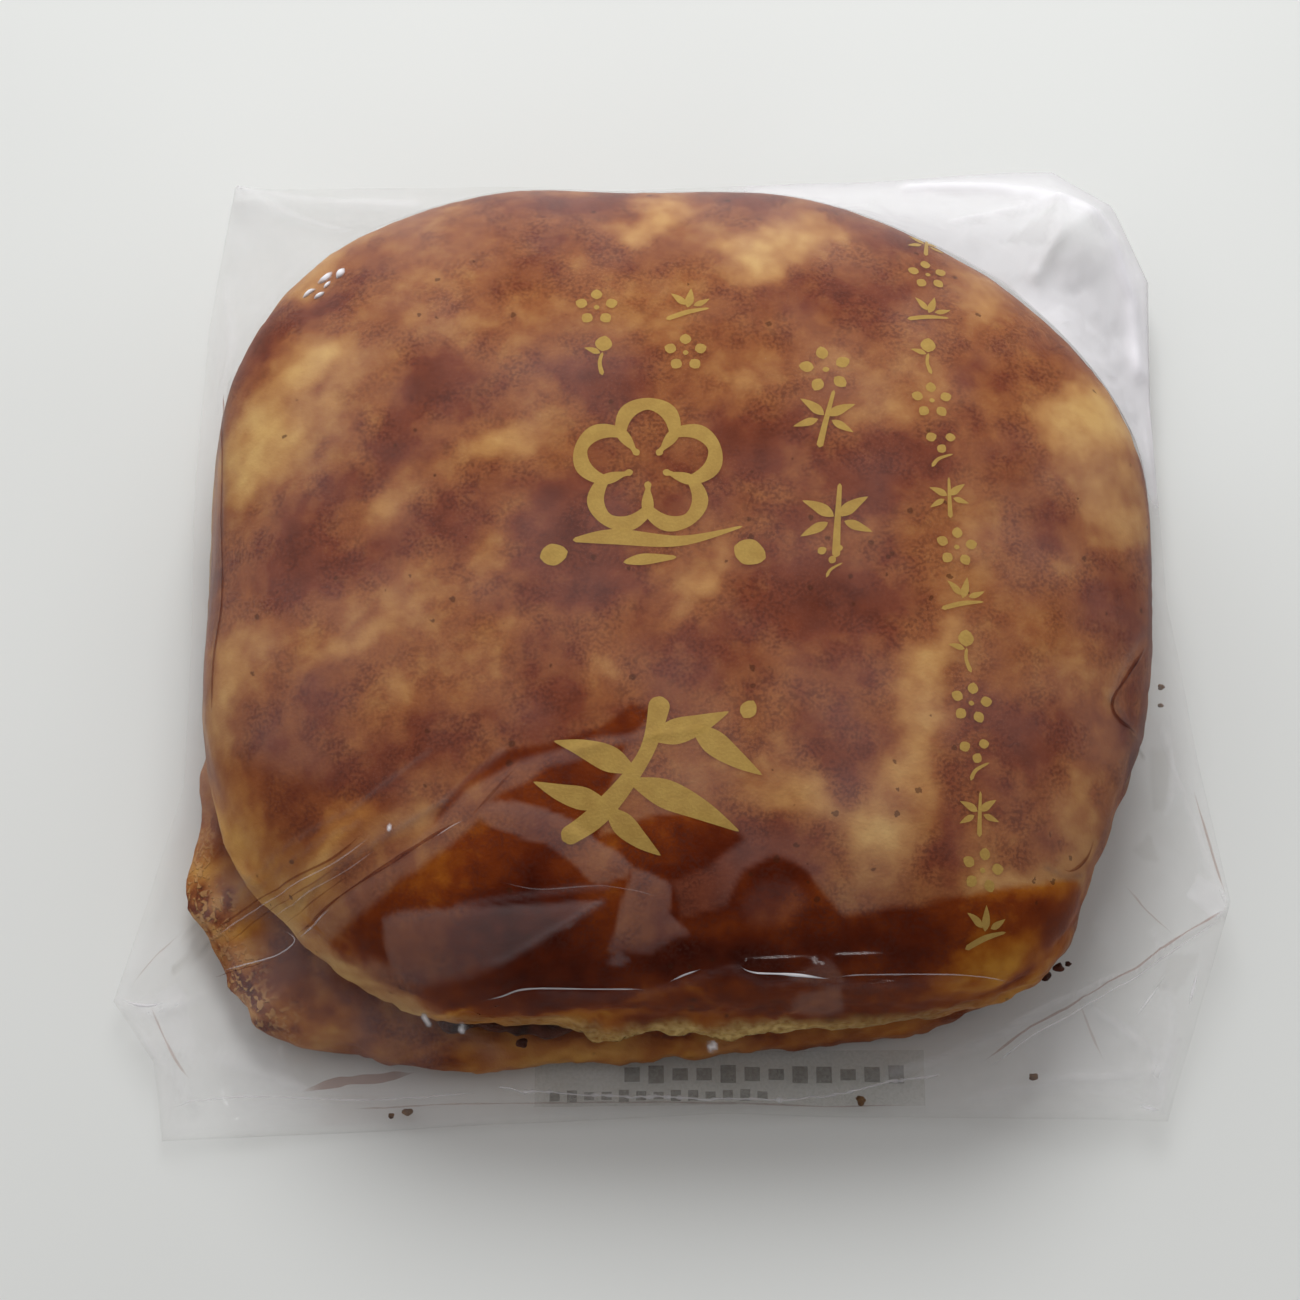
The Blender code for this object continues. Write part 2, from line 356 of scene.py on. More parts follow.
@dataclass
class BagShape:
    """The bag's form, worked out by the same rules as the model's solid."""

    centre: Point = (1.0, -1.5)
    crown: float = 28.0
    widest: float = 11.0
    dome_power: float = 3.0
    dome_rounding: float = 2.2
    ledge_top: float = 7.2
    ledge_drop: float = 3.6
    ledge_power: float = 10.0
    rim_share: float = 0.985
    hem_gap: float = 0.9
    hem_sag: float = 2.2
    flat_share: float = 0.84
    hem_waves: tuple[tuple[float, float, float], ...] = ((7, 0.35, 0.4), (13, 0.22, 1.9), (23, 0.12, 3.1))

    def __post_init__(self) -> None:
        """Reads the outlines."""
        self.upper_cake = Outline(spline(UPPER_CAKE, closed=True), self.centre)
        self.lower_cake = Outline(spline(LOWER_CAKE, closed=True), self.centre)
        self.hem = Outline(straight_runs([(p.x, p.y) for p in HEM]), self.centre)
        away = np.array([(p.x, p.y) for p in HEM]) - np.array(self.centre)
        self.hem_bearings = bearing_of(away[:, 0], away[:, 1])
        self.corner_bearings = [b for b, p in zip(self.hem_bearings, HEM) if p.corner]

    def polar(self, x: Array, y: Array) -> tuple[Array, Array]:
        """Turns x and y into bearing and radius about the cakes' middle."""
        across, along = x - self.centre[0], y - self.centre[1]
        return bearing_of(across, along), np.hypot(across, along)

    def plan(self, bearing: Array, radius: Array) -> tuple[Array, Array]:
        """Turns bearing and radius into x and y."""
        turn = np.radians(bearing)
        return self.centre[0] + radius * np.cos(turn), self.centre[1] + radius * np.sin(turn)

    def dome(self, share: Array) -> Array:
        """Gives the height of the upper cake's skin at a share of its reach."""
        fullness = np.clip(1.0 - np.asarray(share) ** self.dome_power, 0.0, 1.0) ** (1.0 / self.dome_rounding)
        return self.widest + (self.crown - self.widest) * fullness

    def ledge(self, share: Array) -> Array:
        """Gives the height of the lower cake's upper side at a share of its reach."""
        fullness = np.sqrt(np.clip(1.0 - share ** self.ledge_power, 0.0, 1.0))
        return np.where(share < 1.0, self.ledge_top - self.ledge_drop * (1.0 - fullness), 0.0)

    def hem_height(self, bearing: Array) -> Array:
        """Gives the height at which the hem floats at each bearing."""
        height = np.interp(bearing, self.hem_bearings, [p.height for p in HEM], period=360.0)
        return height + sum(lift * np.sin(count * np.radians(bearing) + phase)
                            for count, lift, phase in self.hem_waves)

    def way_out(self, bearing: Array, radius: Array) -> Array:
        """Gives the share of the way from the upper cake's rim to the hem."""
        rim, hem = self.rim_share * self.upper_cake.reach(bearing), self.hem.reach(bearing)
        return np.clip((radius - rim) / (hem - rim), 0.0, 1.0)

    def upper_film(self, bearing: Array, radius: Array) -> Array:
        """Gives the height of the bag's upper skin.

        Args:
            bearing: The places' bearings.
            radius: The places' distances from the cakes' middle.

        Returns:
            The height at each place.
        """
        cake = self.upper_cake.reach(bearing)
        out = self.way_out(bearing, radius)
        hem_at = self.hem_height(bearing)
        pleats = sum(p.height * np.clip(1.0 - apart(bearing, p.bearing) / p.half_width, 0.0, 1.0)
                     for p in PLEATS)
        hanging = hem_at + (self.dome(self.rim_share) - hem_at) * (1.0 - out) ** self.hem_sag
        hanging = hanging + pleats * np.sin(math.pi * out ** 0.8) ** 0.8
        x, y = self.plan(bearing, radius)
        puffed = sum(p.lift * np.exp(-((x - p.x) ** 2 + (y - p.y) ** 2) / p.spread ** 2) for p in PUFFS)
        shelf = self.ledge(radius / self.lower_cake.reach(bearing))
        free = np.maximum(hanging, shelf) + puffed * np.sin(math.pi * out ** 1.2)
        return np.where(out <= 0.0, self.dome(radius / cake), free)

    def under_film(self, bearing: Array, radius: Array) -> Array:
        """Gives the height of the bag's under skin: flat beneath the cakes, then up to the hem."""
        flat, hem = self.flat_share * self.lower_cake.reach(bearing), self.hem.reach(bearing)
        out = np.clip((radius - flat) / (hem - flat), 0.0, 1.0)
        return (self.hem_height(bearing) - self.hem_gap) * out ** 1.6


# How the film lies on the cake


@dataclass(frozen=True)
class Crease:
    """A narrow ridge of film.

    It has a line to follow, a half width, and the height it stands to. sheen is how pale it looks and shade is
    how dark.
    """

    points: tuple[Point, ...]
    width: float
    lift: float
    sheen: float = 0.03
    shade: float = 0.0


@dataclass(frozen=True)
class FilmPatch:
    """A part of the film that lies in its own way.

    veil is how pale its haze is, in part a painted sheen, cling how closely it wets the cake, dim how much it
    greys what lies behind, a painted shade, lift how far it stands off, and edge how wide its border is. A
    rounded patch has a smooth outline, and a loose one keeps off the cake.
    """

    points: tuple[Point, ...]
    veil: float
    cling: float = 0.0
    dim: float = 0.0
    lift: float = 0.0
    edge: float = 0.5
    rounded: bool = False
    loose: bool = False


CREASES = (
    # The pleats at the front left
    Crease(((-45.5, -31.0), (-42.7, -28.8), (-38.6, -27.6), (-29.1, -24.0), (-22.0, -19.5)),
           0.24, 0.20, shade=0.25),
    Crease(((-45.0, -32.2), (-42.2, -29.6), (-37.8, -28.5), (-28.2, -25.1)), 0.22, 0.18, shade=0.2),
    Crease(((-46.5, -34.0), (-41.9, -31.5), (-36.9, -30.1), (-34.8, -31.0), (-27.0, -27.2), (-20.7, -24.1)),
           0.26, 0.30, shade=0.5),
    Crease(((-20.7, -24.1), (-15.5, -19.8)), 0.40, 0.22, shade=0.2),
    # The ridges along the front rim
    Crease(((-12.1, -39.3), (-6.7, -39.5), (-2.2, -39.4), (2.3, -38.4), (5.8, -37.6)), 0.22, 0.42, sheen=0.03),
    Crease(((5.4, -38.0), (8.0, -38.8), (11.3, -38.5), (17.6, -38.8), (25.9, -38.2)), 0.22, 0.45, sheen=0.03),
    Crease(((-23.0, -38.2), (-18.4, -37.9), (-14.6, -36.8), (-10.0, -34.5), (-6.4, -32.7)),
           0.26, 0.26, sheen=0.05),
    Crease(((-19.5, -32.7), (-12.0, -31.9), (-6.0, -31.4)), 0.26, 0.14, sheen=0.04),
    # The folds at the left and the right
    Crease(((-43.2, 24.0), (-42.5, 12.0), (-42.4, 2.0), (-42.8, -7.0), (-43.6, -13.6)), 0.24, 0.20, shade=0.3),
    Crease(((43.8, -4.6), (42.0, -8.0), (40.0, -12.4)), 0.30, 0.25, shade=0.2),
    Crease(((40.0, -12.4), (43.6, -15.9)), 0.20, 0.20, shade=0.7),
    Crease(((33.4, -28.6), (35.4, -29.2), (36.8, -28.6)), 0.20, 0.15, shade=0.6),
    # The loose film's folds
    Crease(((20.0, -44.2), (29.9, -41.4), (42.3, -35.2), (52.2, -28.2)), 0.34, 0.9, sheen=0.16, shade=0.2),
    Crease(((51.9, -27.7), (48.6, -17.4), (46.2, -11.9)), 0.34, 0.5, sheen=0.10),
    Crease(((47.0, -10.0), (47.6, -16.0), (46.2, -20.0)), 0.30, 0.5, sheen=0.08),
    Crease(((44.6, -31.5), (46.4, -38.5), (45.6, -46.0)), 0.34, 0.6, sheen=0.10),
    Crease(((-52.3, -36.4), (-48.9, -37.9), (-44.0, -36.5)), 0.4, 0.6, sheen=0.12),
    Crease(((-49.2, -40.4), (-46.5, -43.5), (-44.3, -47.3)), 0.4, 0.6, sheen=0.12),
    Crease(((-51.0, -37.5), (-48.0, -43.0), (-47.0, -47.0)), 0.4, 0.5, sheen=0.08),
    Crease(((-41.0, -43.5), (-34.0, -45.0), (-25.0, -45.4)), 0.4, 0.4, sheen=0.08),
    Crease(((-44.2, 48.9), (-38.0, 44.5), (-32.0, 40.0)), 0.5, 0.5, sheen=0.10),
    Crease(((-43.9, 48.8), (-36.0, 47.4), (-26.0, 46.2)), 0.5, 0.5, sheen=0.12),
    Crease(((-45.0, 38.0), (-43.8, 30.0), (-44.6, 22.0)), 0.4, 0.4, sheen=0.08),
    Crease(((24.0, 47.4), (31.0, 46.6), (38.8, 44.4), (43.6, 40.0), (45.6, 34.0), (46.2, 27.0)),
           0.9, 0.8, sheen=0.35),
    Crease(((35.2, 33.5), (38.0, 38.5), (38.4, 43.8)), 0.6, 0.8, shade=0.15),
    Crease(((28.0, 41.5), (34.0, 43.0), (38.4, 43.8)), 0.6, 0.5, sheen=0.10),
    Crease(((37.5, -38.0), (44.5, -42.0), (45.4, -47.0)), 0.4, 0.6, sheen=0.12),
    Crease(((28.0, -45.9), (36.0, -44.6), (45.0, -43.6)), 0.4, 0.5, sheen=0.10),
)

CLING = (
    (-20.7, -24.0), (-18.7, -22.1), (-16.9, -20.5), (-14.3, -19.4), (-11.4, -18.9), (-6.7, -17.7),
    (-3.9, -15.4), (-2.0, -16.2), (-4.2, -18.6), (-5.1, -21.9), (-6.8, -24.3), (-6.7, -27.0),
    (-1.3, -25.4), (2.7, -24.8), (6.3, -27.4), (3.0, -29.9), (-0.2, -30.9), (0.6, -34.0),
    (4.4, -32.6), (6.1, -30.0), (8.9, -28.6), (12.2, -30.2), (14.7, -33.6), (20.2, -33.1),
    (24.2, -32.2), (30.8, -30.8), (36.5, -28.9), (39.0, -31.5), (35.0, -40.5), (28.0, -43.0),
    (15.9, -44.0), (-2.2, -44.0), (-14.0, -43.0), (-21.0, -40.0), (-26.0, -36.6), (-31.1, -34.5),
    (-33.0, -32.8), (-29.1, -31.0), (-23.1, -28.2),
)
PATCHES = (
    FilmPatch(((-43.6, -16.0), (-37.7, -18.6), (-31.0, -21.6), (-24.6, -23.5), (-28.1, -26.3), (-33.9, -28.4),
               (-37.8, -29.4), (-41.0, -26.0), (-43.6, -20.6)), 0.004, cling=0.56, edge=3.0, rounded=True),
    FilmPatch(((-37.9, -29.5), (-31.0, -28.1), (-27.1, -26.6), (-18.8, -25.3), (-25.9, -28.9), (-33.6, -32.4),
               (-35.0, -31.6)), 0.016, cling=0.30, edge=0.8),
    FilmPatch(((-48.0, 26.0), (-43.2, 24.0), (-42.4, 2.0), (-43.6, -13.6), (-48.0, -16.0)), 0.06, cling=0.45),
    FilmPatch(CLING, 0.0, cling=1.0, edge=0.6),
    FilmPatch(((-36.1, -33.4), (-33.5, -32.6), (-25.8, -29.1), (-18.8, -25.4), (-18.6, -26.1), (-21.0, -28.1),
               (-24.6, -30.3), (-29.2, -31.8), (-31.3, -33.2), (-33.8, -35.5)),
              0.056, cling=0.5, lift=0.08, edge=0.5),
    FilmPatch(((10.2, -40.4), (11.3, -39.4), (15.1, -38.5), (15.2, -40.2)), 0.05, cling=0.6, edge=0.3),
    FilmPatch(((-6.2, -37.3), (-5.1, -36.7), (-3.9, -37.3), (-5.1, -37.8)), 0.07, cling=0.5, edge=0.3),
    FilmPatch(((-34.2, -34.2), (-26.4, -30.0), (-18.6, -23.1), (-14.0, -20.6), (-8.6, -18.9), (-3.1, -18.0),
               (2.7, -17.3), (2.7, -18.1), (-5.8, -19.5), (-10.9, -21.1), (-15.4, -23.5), (-19.8, -27.5),
               (-24.6, -30.5), (-29.8, -33.4), (-34.2, -35.5)), 0.042, cling=0.35, lift=0.12, edge=0.7),
    FilmPatch(((-17.9, -25.3), (-16.6, -24.3), (-15.1, -24.2), (-11.4, -24.9), (-7.5, -27.0), (-3.8, -29.7),
               (-4.0, -30.4), (-6.7, -31.1), (-7.8, -30.6), (-11.4, -28.1), (-14.6, -26.7)),
              0.050, cling=0.40, lift=0.22, edge=0.3),
    FilmPatch(((-26.3, -33.2), (-19.5, -32.7), (-6.4, -32.7), (-10.0, -34.5), (-14.6, -36.8), (-19.1, -37.7),
               (-23.7, -38.0), (-25.4, -37.3), (-26.1, -35.6)), 0.062, cling=0.6, lift=0.22, edge=0.4),
    FilmPatch(((-3.7, -29.9), (-0.3, -31.0), (-0.6, -33.7), (1.4, -35.3), (-1.8, -36.5), (-6.1, -36.7),
               (-4.8, -33.4)), 0.048, cling=0.40, lift=0.2, edge=0.3),
    FilmPatch(((9.5, -38.8), (15.1, -38.3), (13.8, -36.8), (12.3, -37.3)),
              0.04, cling=0.4, lift=0.15, edge=0.3),
    FilmPatch(((5.8, -33.4), (7.8, -31.2), (10.4, -31.2), (11.7, -32.6), (10.3, -34.2), (7.6, -34.6)), 0.012,
              cling=0.75, lift=0.1, edge=1.4, rounded=True),
    # The loose film round the cakes
    # The next two patches paint the loose film at the back right white: a painted sheen of the bright room
    # behind, which also hides the shade on the table under it.
    FilmPatch(((8.0, 50.0), (39.0, 50.0), (47.8, 45.0), (48.4, 30.0), (48.0, 14.0), (42.0, 18.0), (36.0, 26.0),
               (26.0, 34.0), (14.0, 41.0)), 0.40, edge=5.0, rounded=True, loose=True),
    FilmPatch(((33.0, 30.0), (39.0, 36.5), (46.0, 38.0), (48.4, 29.0), (48.2, 15.0), (42.0, 15.0),
               (38.0, 24.0)),
              0.66, edge=4.0, rounded=True, loose=True),
    FilmPatch(((32.4, 38.5), (36.6, 37.0), (38.2, 43.0)), 0.3, dim=0.10, edge=0.6),
    # The next five patches paint facets of the loose film at the right: the greyed ones are painted shade and
    # the pale ones painted highlights.
    FilmPatch(((44.5, -14.3), (47.3, -12.5), (46.1, -19.6), (44.7, -19.9)), 0.02, dim=0.24, edge=0.25),
    FilmPatch(((42.4, -24.5), (44.4, -22.3), (45.2, -24.8), (43.2, -25.1)), 0.02, dim=0.20, edge=0.25),
    FilmPatch(((46.0, -33.4), (49.5, -32.1), (46.7, -36.3), (44.7, -36.1)), 0.04, dim=0.18, edge=0.25),
    FilmPatch(((44.6, -41.5), (47.6, -40.0), (44.8, -47.0), (43.3, -46.0)), 0.14, dim=0.06, edge=0.3),
    FilmPatch(((47.5, -27.5), (49.5, -25.0), (52.3, -26.9), (51.0, -29.5)), 0.20, edge=0.3),
    FilmPatch(((30.5, -41.0), (38.5, -38.5), (43.0, -40.0), (42.5, -46.0), (34.0, -45.5)), 0.09, edge=0.8),
    FilmPatch(((-41.5, -32.5), (-37.0, -32.0), (-33.0, -36.0), (-29.0, -39.5), (-31.5, -42.0), (-37.0, -42.0),
               (-41.0, -37.5)), 0.062, edge=1.2),
    FilmPatch(((-50.5, -36.8), (-46.0, -35.0), (-44.0, -43.0), (-47.6, -40.5)), 0.16, edge=0.5),
    FilmPatch(((-43.0, -42.0), (-37.0, -41.5), (-33.0, -46.5), (-40.0, -47.0)), 0.12, edge=0.8),
)
# Painted glints: small pale spots on the film, each with its x, y and size.
PAINTED_GLINTS = (
    (-25.4, -25.8, 0.16),
    (-22.7, -40.3, 0.24), (-19.5, -41.2, 0.26), (3.4, -42.2, 0.28), (44.5, -39.5, 0.22), (44.3, -46.8, 0.2),
)


@dataclass(frozen=True)
class ThinFilmLine:
    """A thin line on the film: its route, its radius, and how pale or how dark it looks.

    Pale lines are painted highlights and glints, dark ones painted shade along the folds.
    """

    route: tuple[Point, ...]
    radius: float
    veil: float = 0.0
    dim: float = 0.0


THIN_FILM_LINES = (
    # The pleats at the front left
    ThinFilmLine(((-43.3, -31.5), (-37.9, -29.4), (-31.2, -28.0), (-27.6, -25.8)), 0.09, dim=0.60),
    ThinFilmLine(((-42.9, -32.0), (-37.7, -29.9), (-31.0, -28.4), (-26.8, -26.2)), 0.06, veil=0.12),
    ThinFilmLine(((-42.0, -32.6), (-37.1, -30.5), (-32.2, -29.4), (-29.0, -27.9)), 0.07, dim=0.40),
    ThinFilmLine(((-38.2, -31.2), (-34.0, -30.4), (-29.7, -29.1), (-26.4, -27.4)), 0.06, veil=0.08),
    ThinFilmLine(((-36.4, -32.0), (-32.0, -30.6), (-28.0, -28.9)), 0.06, dim=0.35),
    ThinFilmLine(((-34.9, -33.2), (-33.5, -32.5), (-25.8, -29.0), (-18.8, -25.4)), 0.13, dim=0.75),
    ThinFilmLine(((-34.6, -33.5), (-32.8, -32.5), (-30.8, -31.6)), 0.08, veil=0.22),
    ThinFilmLine(((-21.6, -27.1), (-20.0, -26.2), (-18.7, -25.6)), 0.07, veil=0.22),
    ThinFilmLine(((-36.2, -32.0), (-34.7, -33.3), (-36.2, -34.1), (-39.3, -34.2), (-42.4, -34.6)),
             0.07, veil=0.26),
    ThinFilmLine(((-36.6, -34.3), (-39.4, -34.5), (-43.2, -35.0)), 0.08, dim=0.60),
    ThinFilmLine(((-18.8, -26.0), (-16.2, -23.3), (-13.8, -20.8)), 0.10, dim=0.45),
    # The ridges along the front rim: pale lines that are painted highlights
    ThinFilmLine(((-17.9, -39.6), (-15.7, -39.4), (-13.2, -39.0), (-7.6, -39.1), (-2.3, -39.2)), 0.065, veil=0.38),
    ThinFilmLine(((-0.5, -38.7), (0.9, -38.2), (2.4, -37.8)), 0.065, veil=0.40),
    ThinFilmLine(((5.6, -37.5), (7.1, -38.0), (10.3, -38.1), (14.2, -38.4)), 0.12, veil=0.95),
    ThinFilmLine(((14.2, -38.4), (15.8, -38.1), (20.3, -38.0), (26.6, -37.9), (30.8, -37.9)), 0.060, veil=0.20),
    ThinFilmLine(((-15.6, -30.9), (-12.0, -31.6), (-6.0, -31.4), (-1.0, -32.4)), 0.05, veil=0.05),
    # The glints at the back left
    ThinFilmLine(((-34.0, 29.9), (-33.2, 30.3), (-32.6, 31.0)), 0.46, veil=1.0),
    ThinFilmLine(((-32.1, 29.9), (-31.4, 31.1)), 0.34, veil=1.0),
    ThinFilmLine(((-35.4, 28.4), (-34.7, 29.0), (-34.1, 29.1)), 0.36, veil=1.0),
    ThinFilmLine(((-34.2, 27.9), (-33.2, 28.4)), 0.26, veil=1.0),
    ThinFilmLine(((-33.3, 29.0), (-32.7, 29.7)), 0.20, veil=1.0),
    # The folds at the left and the right
    ThinFilmLine(((-44.0, 24.0), (-42.9, 14.2), (-42.6, 6.7), (-42.1, -1.8), (-42.7, -7.3), (-42.8, -13.1)),
             0.10, dim=0.6),
    ThinFilmLine(((44.1, -5.9), (41.7, -9.9), (40.2, -12.6), (40.9, -14.0), (43.6, -14.6)), 0.16, dim=0.85),
    ThinFilmLine(((34.6, -28.0), (35.8, -28.5), (37.5, -27.0), (38.3, -24.9)), 0.12, dim=0.75),
    # The loose film
    ThinFilmLine(((28.4, -43.1), (39.1, -37.1), (46.0, -32.3), (52.0, -28.2)), 0.10, dim=0.45),
    ThinFilmLine(((29.0, -43.5), (39.6, -37.5), (46.4, -32.8), (51.6, -29.0)), 0.09, veil=0.20),
    ThinFilmLine(((41.5, -27.5), (46.7, -31.6)), 0.10, dim=0.30),
    ThinFilmLine(((49.4, -15.7), (50.2, -19.2), (52.0, -27.3)), 0.08, dim=0.40),
    ThinFilmLine(((48.0, -37.5), (49.0, -33.9)), 0.20, veil=0.32),
    ThinFilmLine(((42.5, -39.3), (46.0, -34.6)), 0.12, veil=0.18),
    ThinFilmLine(((36.8, -37.6), (40.0, -43.0)), 0.09, dim=0.2),
    ThinFilmLine(((-49.0, -36.8), (-47.8, -39.5), (-46.3, -42.3), (-44.7, -44.5)), 0.10, dim=0.32),
    ThinFilmLine(((-51.8, -36.5), (-49.7, -37.1), (-47.1, -36.9)), 0.12, veil=0.4),
    ThinFilmLine(((-50.8, -35.2), (-48.8, -32.7), (-45.7, -30.3)), 0.09, dim=0.22),
    # This wide dark line is painted shade on the hem at the front left, below the cakes.
    ThinFilmLine(((-34.8, -45.2), (-31.4, -44.3), (-27.6, -44.0), (-23.6, -43.6)), 0.42, dim=0.5),
    ThinFilmLine(((-46.8, -46.6), (-38.0, -45.6), (-28.0, -45.7), (-18.0, -45.3)), 0.09, veil=0.22),
    ThinFilmLine(((-30.0, -46.4), (-12.0, -46.0), (4.0, -46.1), (22.0, -46.4)), 0.07, dim=0.30),
)


@dataclass
class FilmLie:
    """How the upper film lies: its lift off the plain form and what it does to what is seen through it."""

    shape: BagShape
    noise: SmoothNoise = field(default_factory=lambda: SmoothNoise(11))
    stand_off: float = 0.03
    # The film over the back of the cake is made paler by this much: a painted sheen of the bright room behind.
    painted_back_sheen: float = 0.055
    cake_veil: float = 0.021
    hem_veil: float = 0.026
    crinkle: float = 0.34
    drift: Grain = Grain(0.5, 9.0, 3)
    cake_haze: Grain = Grain(0.024, 8.0, 3, (0.0, -33.0))
    hem_haze: Grain = Grain(0.05, 4.0, 2, (40.0, 0.0))
    hem_shade: Grain = Grain(0.03, 5.0, 2, (0.0, 60.0))
    wander: tuple[Grain, Grain] = (Grain(0.25, 2.2, 1, (5.0, -5.0)), Grain(0.25, 2.2, 1, (31.0, -31.0)))
    ripples: tuple[Grain, Grain] = (
        Grain(1.0, 3.2, 3, folded=True), Grain(0.6, 1.4, 2, (-9.0, 0.0), folded=True),
    )

    def at(self, x: Array, y: Array) -> dict[str, Array]:
        """Reads the film at places.

        Args:
            x: The places' x.
            y: The places' y.

        Returns:
            Its lift, veil, cling and dim at each place.
        """
        bearing, radius = self.shape.polar(x, y)
        out = self.shape.way_out(bearing, radius)
        on_cake = 1.0 - smooth_step(out, 0.0, 0.12)
        # Painted sheen: the film over the back of the cake is paler, as if it mirrored the bright room behind.
        sheen_at_back = self.painted_back_sheen * smooth_step(y, 24.0, 42.0)
        veil_on_cake = self.cake_veil + sheen_at_back + self.noise.sum(x, y, self.cake_haze)
        veil_on_hem = self.hem_veil + self.noise.sum(x, y, self.hem_haze)
        state = {
            "veil": np.clip(veil_on_cake * on_cake + veil_on_hem * (1.0 - on_cake), 0.0, 1.0),
            "cling": np.zeros(x.shape),
            "dim": np.clip(self.noise.sum(x, y, self.hem_shade), 0.0, 1.0) * (1.0 - on_cake),
            "lift": self.stand_off * (1.0 + self.noise.sum(x, y, self.drift)) * on_cake,
        }
        wander_x, wander_y = (self.noise.sum(x, y, grain) for grain in self.wander)
        for patch in PATCHES:
            points = patch.points
            if patch.rounded:
                points = [tuple(p) for p in spline(points, closed=True, steps=6)]
            depth = depth_inside(x + wander_x, y + wander_y, points)
            inside = smooth_step(depth, -patch.edge / 2, patch.edge / 2)
            if patch.loose:
                inside = inside * smooth_step(out, 0.0, 0.02)
            for name, target in (("veil", patch.veil), ("cling", patch.cling), ("dim", patch.dim)):
                state[name] = state[name] * (1.0 - inside) + target * inside
            raised = smooth_step(depth_inside(x, y, points), -0.3, 1.0)
            state["lift"] = state["lift"] * (1.0 - 0.6 * patch.cling * raised) + patch.lift * raised
        for crease in CREASES:
            off = line_distance(x + 0.5 * wander_x, y + 0.5 * wander_y, crease.points)
            near = np.exp(-(off / crease.width) ** 2)
            for name, amount in (("lift", crease.lift), ("veil", crease.sheen), ("dim", crease.shade)):
                state[name] = state[name] + amount * near
        rippled = self.crinkle * self.noise.sum(x, y, *self.ripples)
        state["lift"] = state["lift"] + rippled * np.sin(math.pi * out ** 0.7)
        # Painted glints: small pale spots of veil.
        for glint_x, glint_y, size in PAINTED_GLINTS:
            away = np.hypot(x - glint_x + wander_x, y - glint_y + wander_y)
            state["veil"] = np.maximum(state["veil"], 0.9 * (1.0 - smooth_step(away, 0.7 * size, 1.2 * size)))
        return state

    def height(self, x: Array, y: Array) -> Array:
        """Gives the height of the upper film at places."""
        return self.shape.upper_film(*self.shape.polar(x, y)) + self.at(x, y)["lift"]


# Building meshes


def new_object(name: str, data: bpy.types.ID) -> Piece:
    """Makes an object from a mesh, a lamp or a camera and puts it in the scene."""
    thing = bpy.data.objects.new(name, data)
    bpy.context.scene.collection.objects.link(thing)
    return thing


def link_piece(name: str, mesh: Mesh, material: Material) -> Piece:
    """Makes a mesh a piece of the object.

    Args:
        name: The piece's name.
        mesh: Its mesh, in metres.
        material: Its material.

    Returns:
        The piece, riding on the body.
    """
    piece = new_object(name, mesh)
    mesh.materials.append(material)
    mesh.shade_smooth()
    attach(piece, BODY)
    log.info("%s: %d faces", name, len(mesh.polygons))
    return piece


def mesh_from(name: str, points: Array, faces: Array) -> Mesh:
    """Makes a mesh.

    Args:
        name: Its name.
        points: Its vertices in millimetres, one row each.
        faces: Its faces' vertex numbers, one row each.

    Returns:
        The mesh, in metres.
    """
    mesh = bpy.data.meshes.new(name)
    mesh.from_pydata((points * MM).tolist(), [], faces.tolist())
    return mesh


def row_faces(rows: int, lanes: int, closed: bool) -> Array:
    """Gives the faces between rows of vertices that are numbered row by row.

    Args:
        rows: How many rows there are.
        lanes: How many vertices a row has.
        closed: Whether a row returns to its first vertex.

    Returns:
        The faces' vertex numbers, one row each.
    """
    i, k = np.meshgrid(np.arange(rows - 1), np.arange(lanes if closed else lanes - 1), indexing="ij")
    near, beside = i * lanes + k, i * lanes + (k + 1) % lanes
    return np.stack([near, near + lanes, beside + lanes, beside], axis=-1).reshape(-1, 4)


def joined(parts: Sequence[tuple[Array, Array]]) -> tuple[Array, Array]:
    """Joins the points and faces of several parts.

    Args:
        parts: Each part's points, one row each, and its faces, numbered from its own first point.

    Returns:
        All points and all faces.
    """
    starts = np.append(0, np.cumsum([len(points) for points, _ in parts]))[:-1]
    faces = [numbers + start for (_, numbers), start in zip(parts, starts)]
    return np.vstack([points for points, _ in parts]), np.vstack(faces)


def paint(mesh: Mesh, values: dict[str, Array]) -> None:
    """Writes one number for each vertex under each name."""
    for name, value in values.items():
        mesh.attributes.new(name, "FLOAT", "POINT").data.foreach_set("value", value.ravel().astype(np.float32))


@dataclass
class RingSkin:
    """A closed skin of rings round the cakes' middle, from the top inside to the under side."""

    shape: BagShape
    bearing: Array
    radius: Array
    height: Array
    values: dict[str, Array] = field(default_factory=dict)

    def mesh(self, name: str) -> Mesh:
        """Joins the rings and closes both ends with a fan.

        Args:
            name: The mesh's name.

        Returns:
            The closed mesh with its painted values.
        """
        rings, count = self.radius.shape
        x, y = self.shape.plan(self.bearing[None, :], self.radius)
        points = np.stack([x, y, self.height], axis=-1)
        top, base = points[0].mean(axis=0), points[-1].mean(axis=0)
        every = np.vstack([points.reshape(-1, 3), [top, base]])
        quads = row_faces(rings, count, closed=True)
        near = np.arange(count)
        far = (near + 1) % count
        last = (rings - 1) * count
        top_fan = np.stack([np.full(count, rings * count), near, far], axis=-1)
        base_fan = np.stack([np.full(count, rings * count + 1), last + far, last + near], axis=-1)
        mesh = bpy.data.meshes.new(name)
        mesh.from_pydata((every * MM).tolist(), [], quads.tolist() + top_fan.tolist() + base_fan.tolist())
        paint(mesh, {key: np.append(value.ravel(), [value[0].mean(), value[-1].mean()])
                     for key, value in self.values.items()})
        return mesh


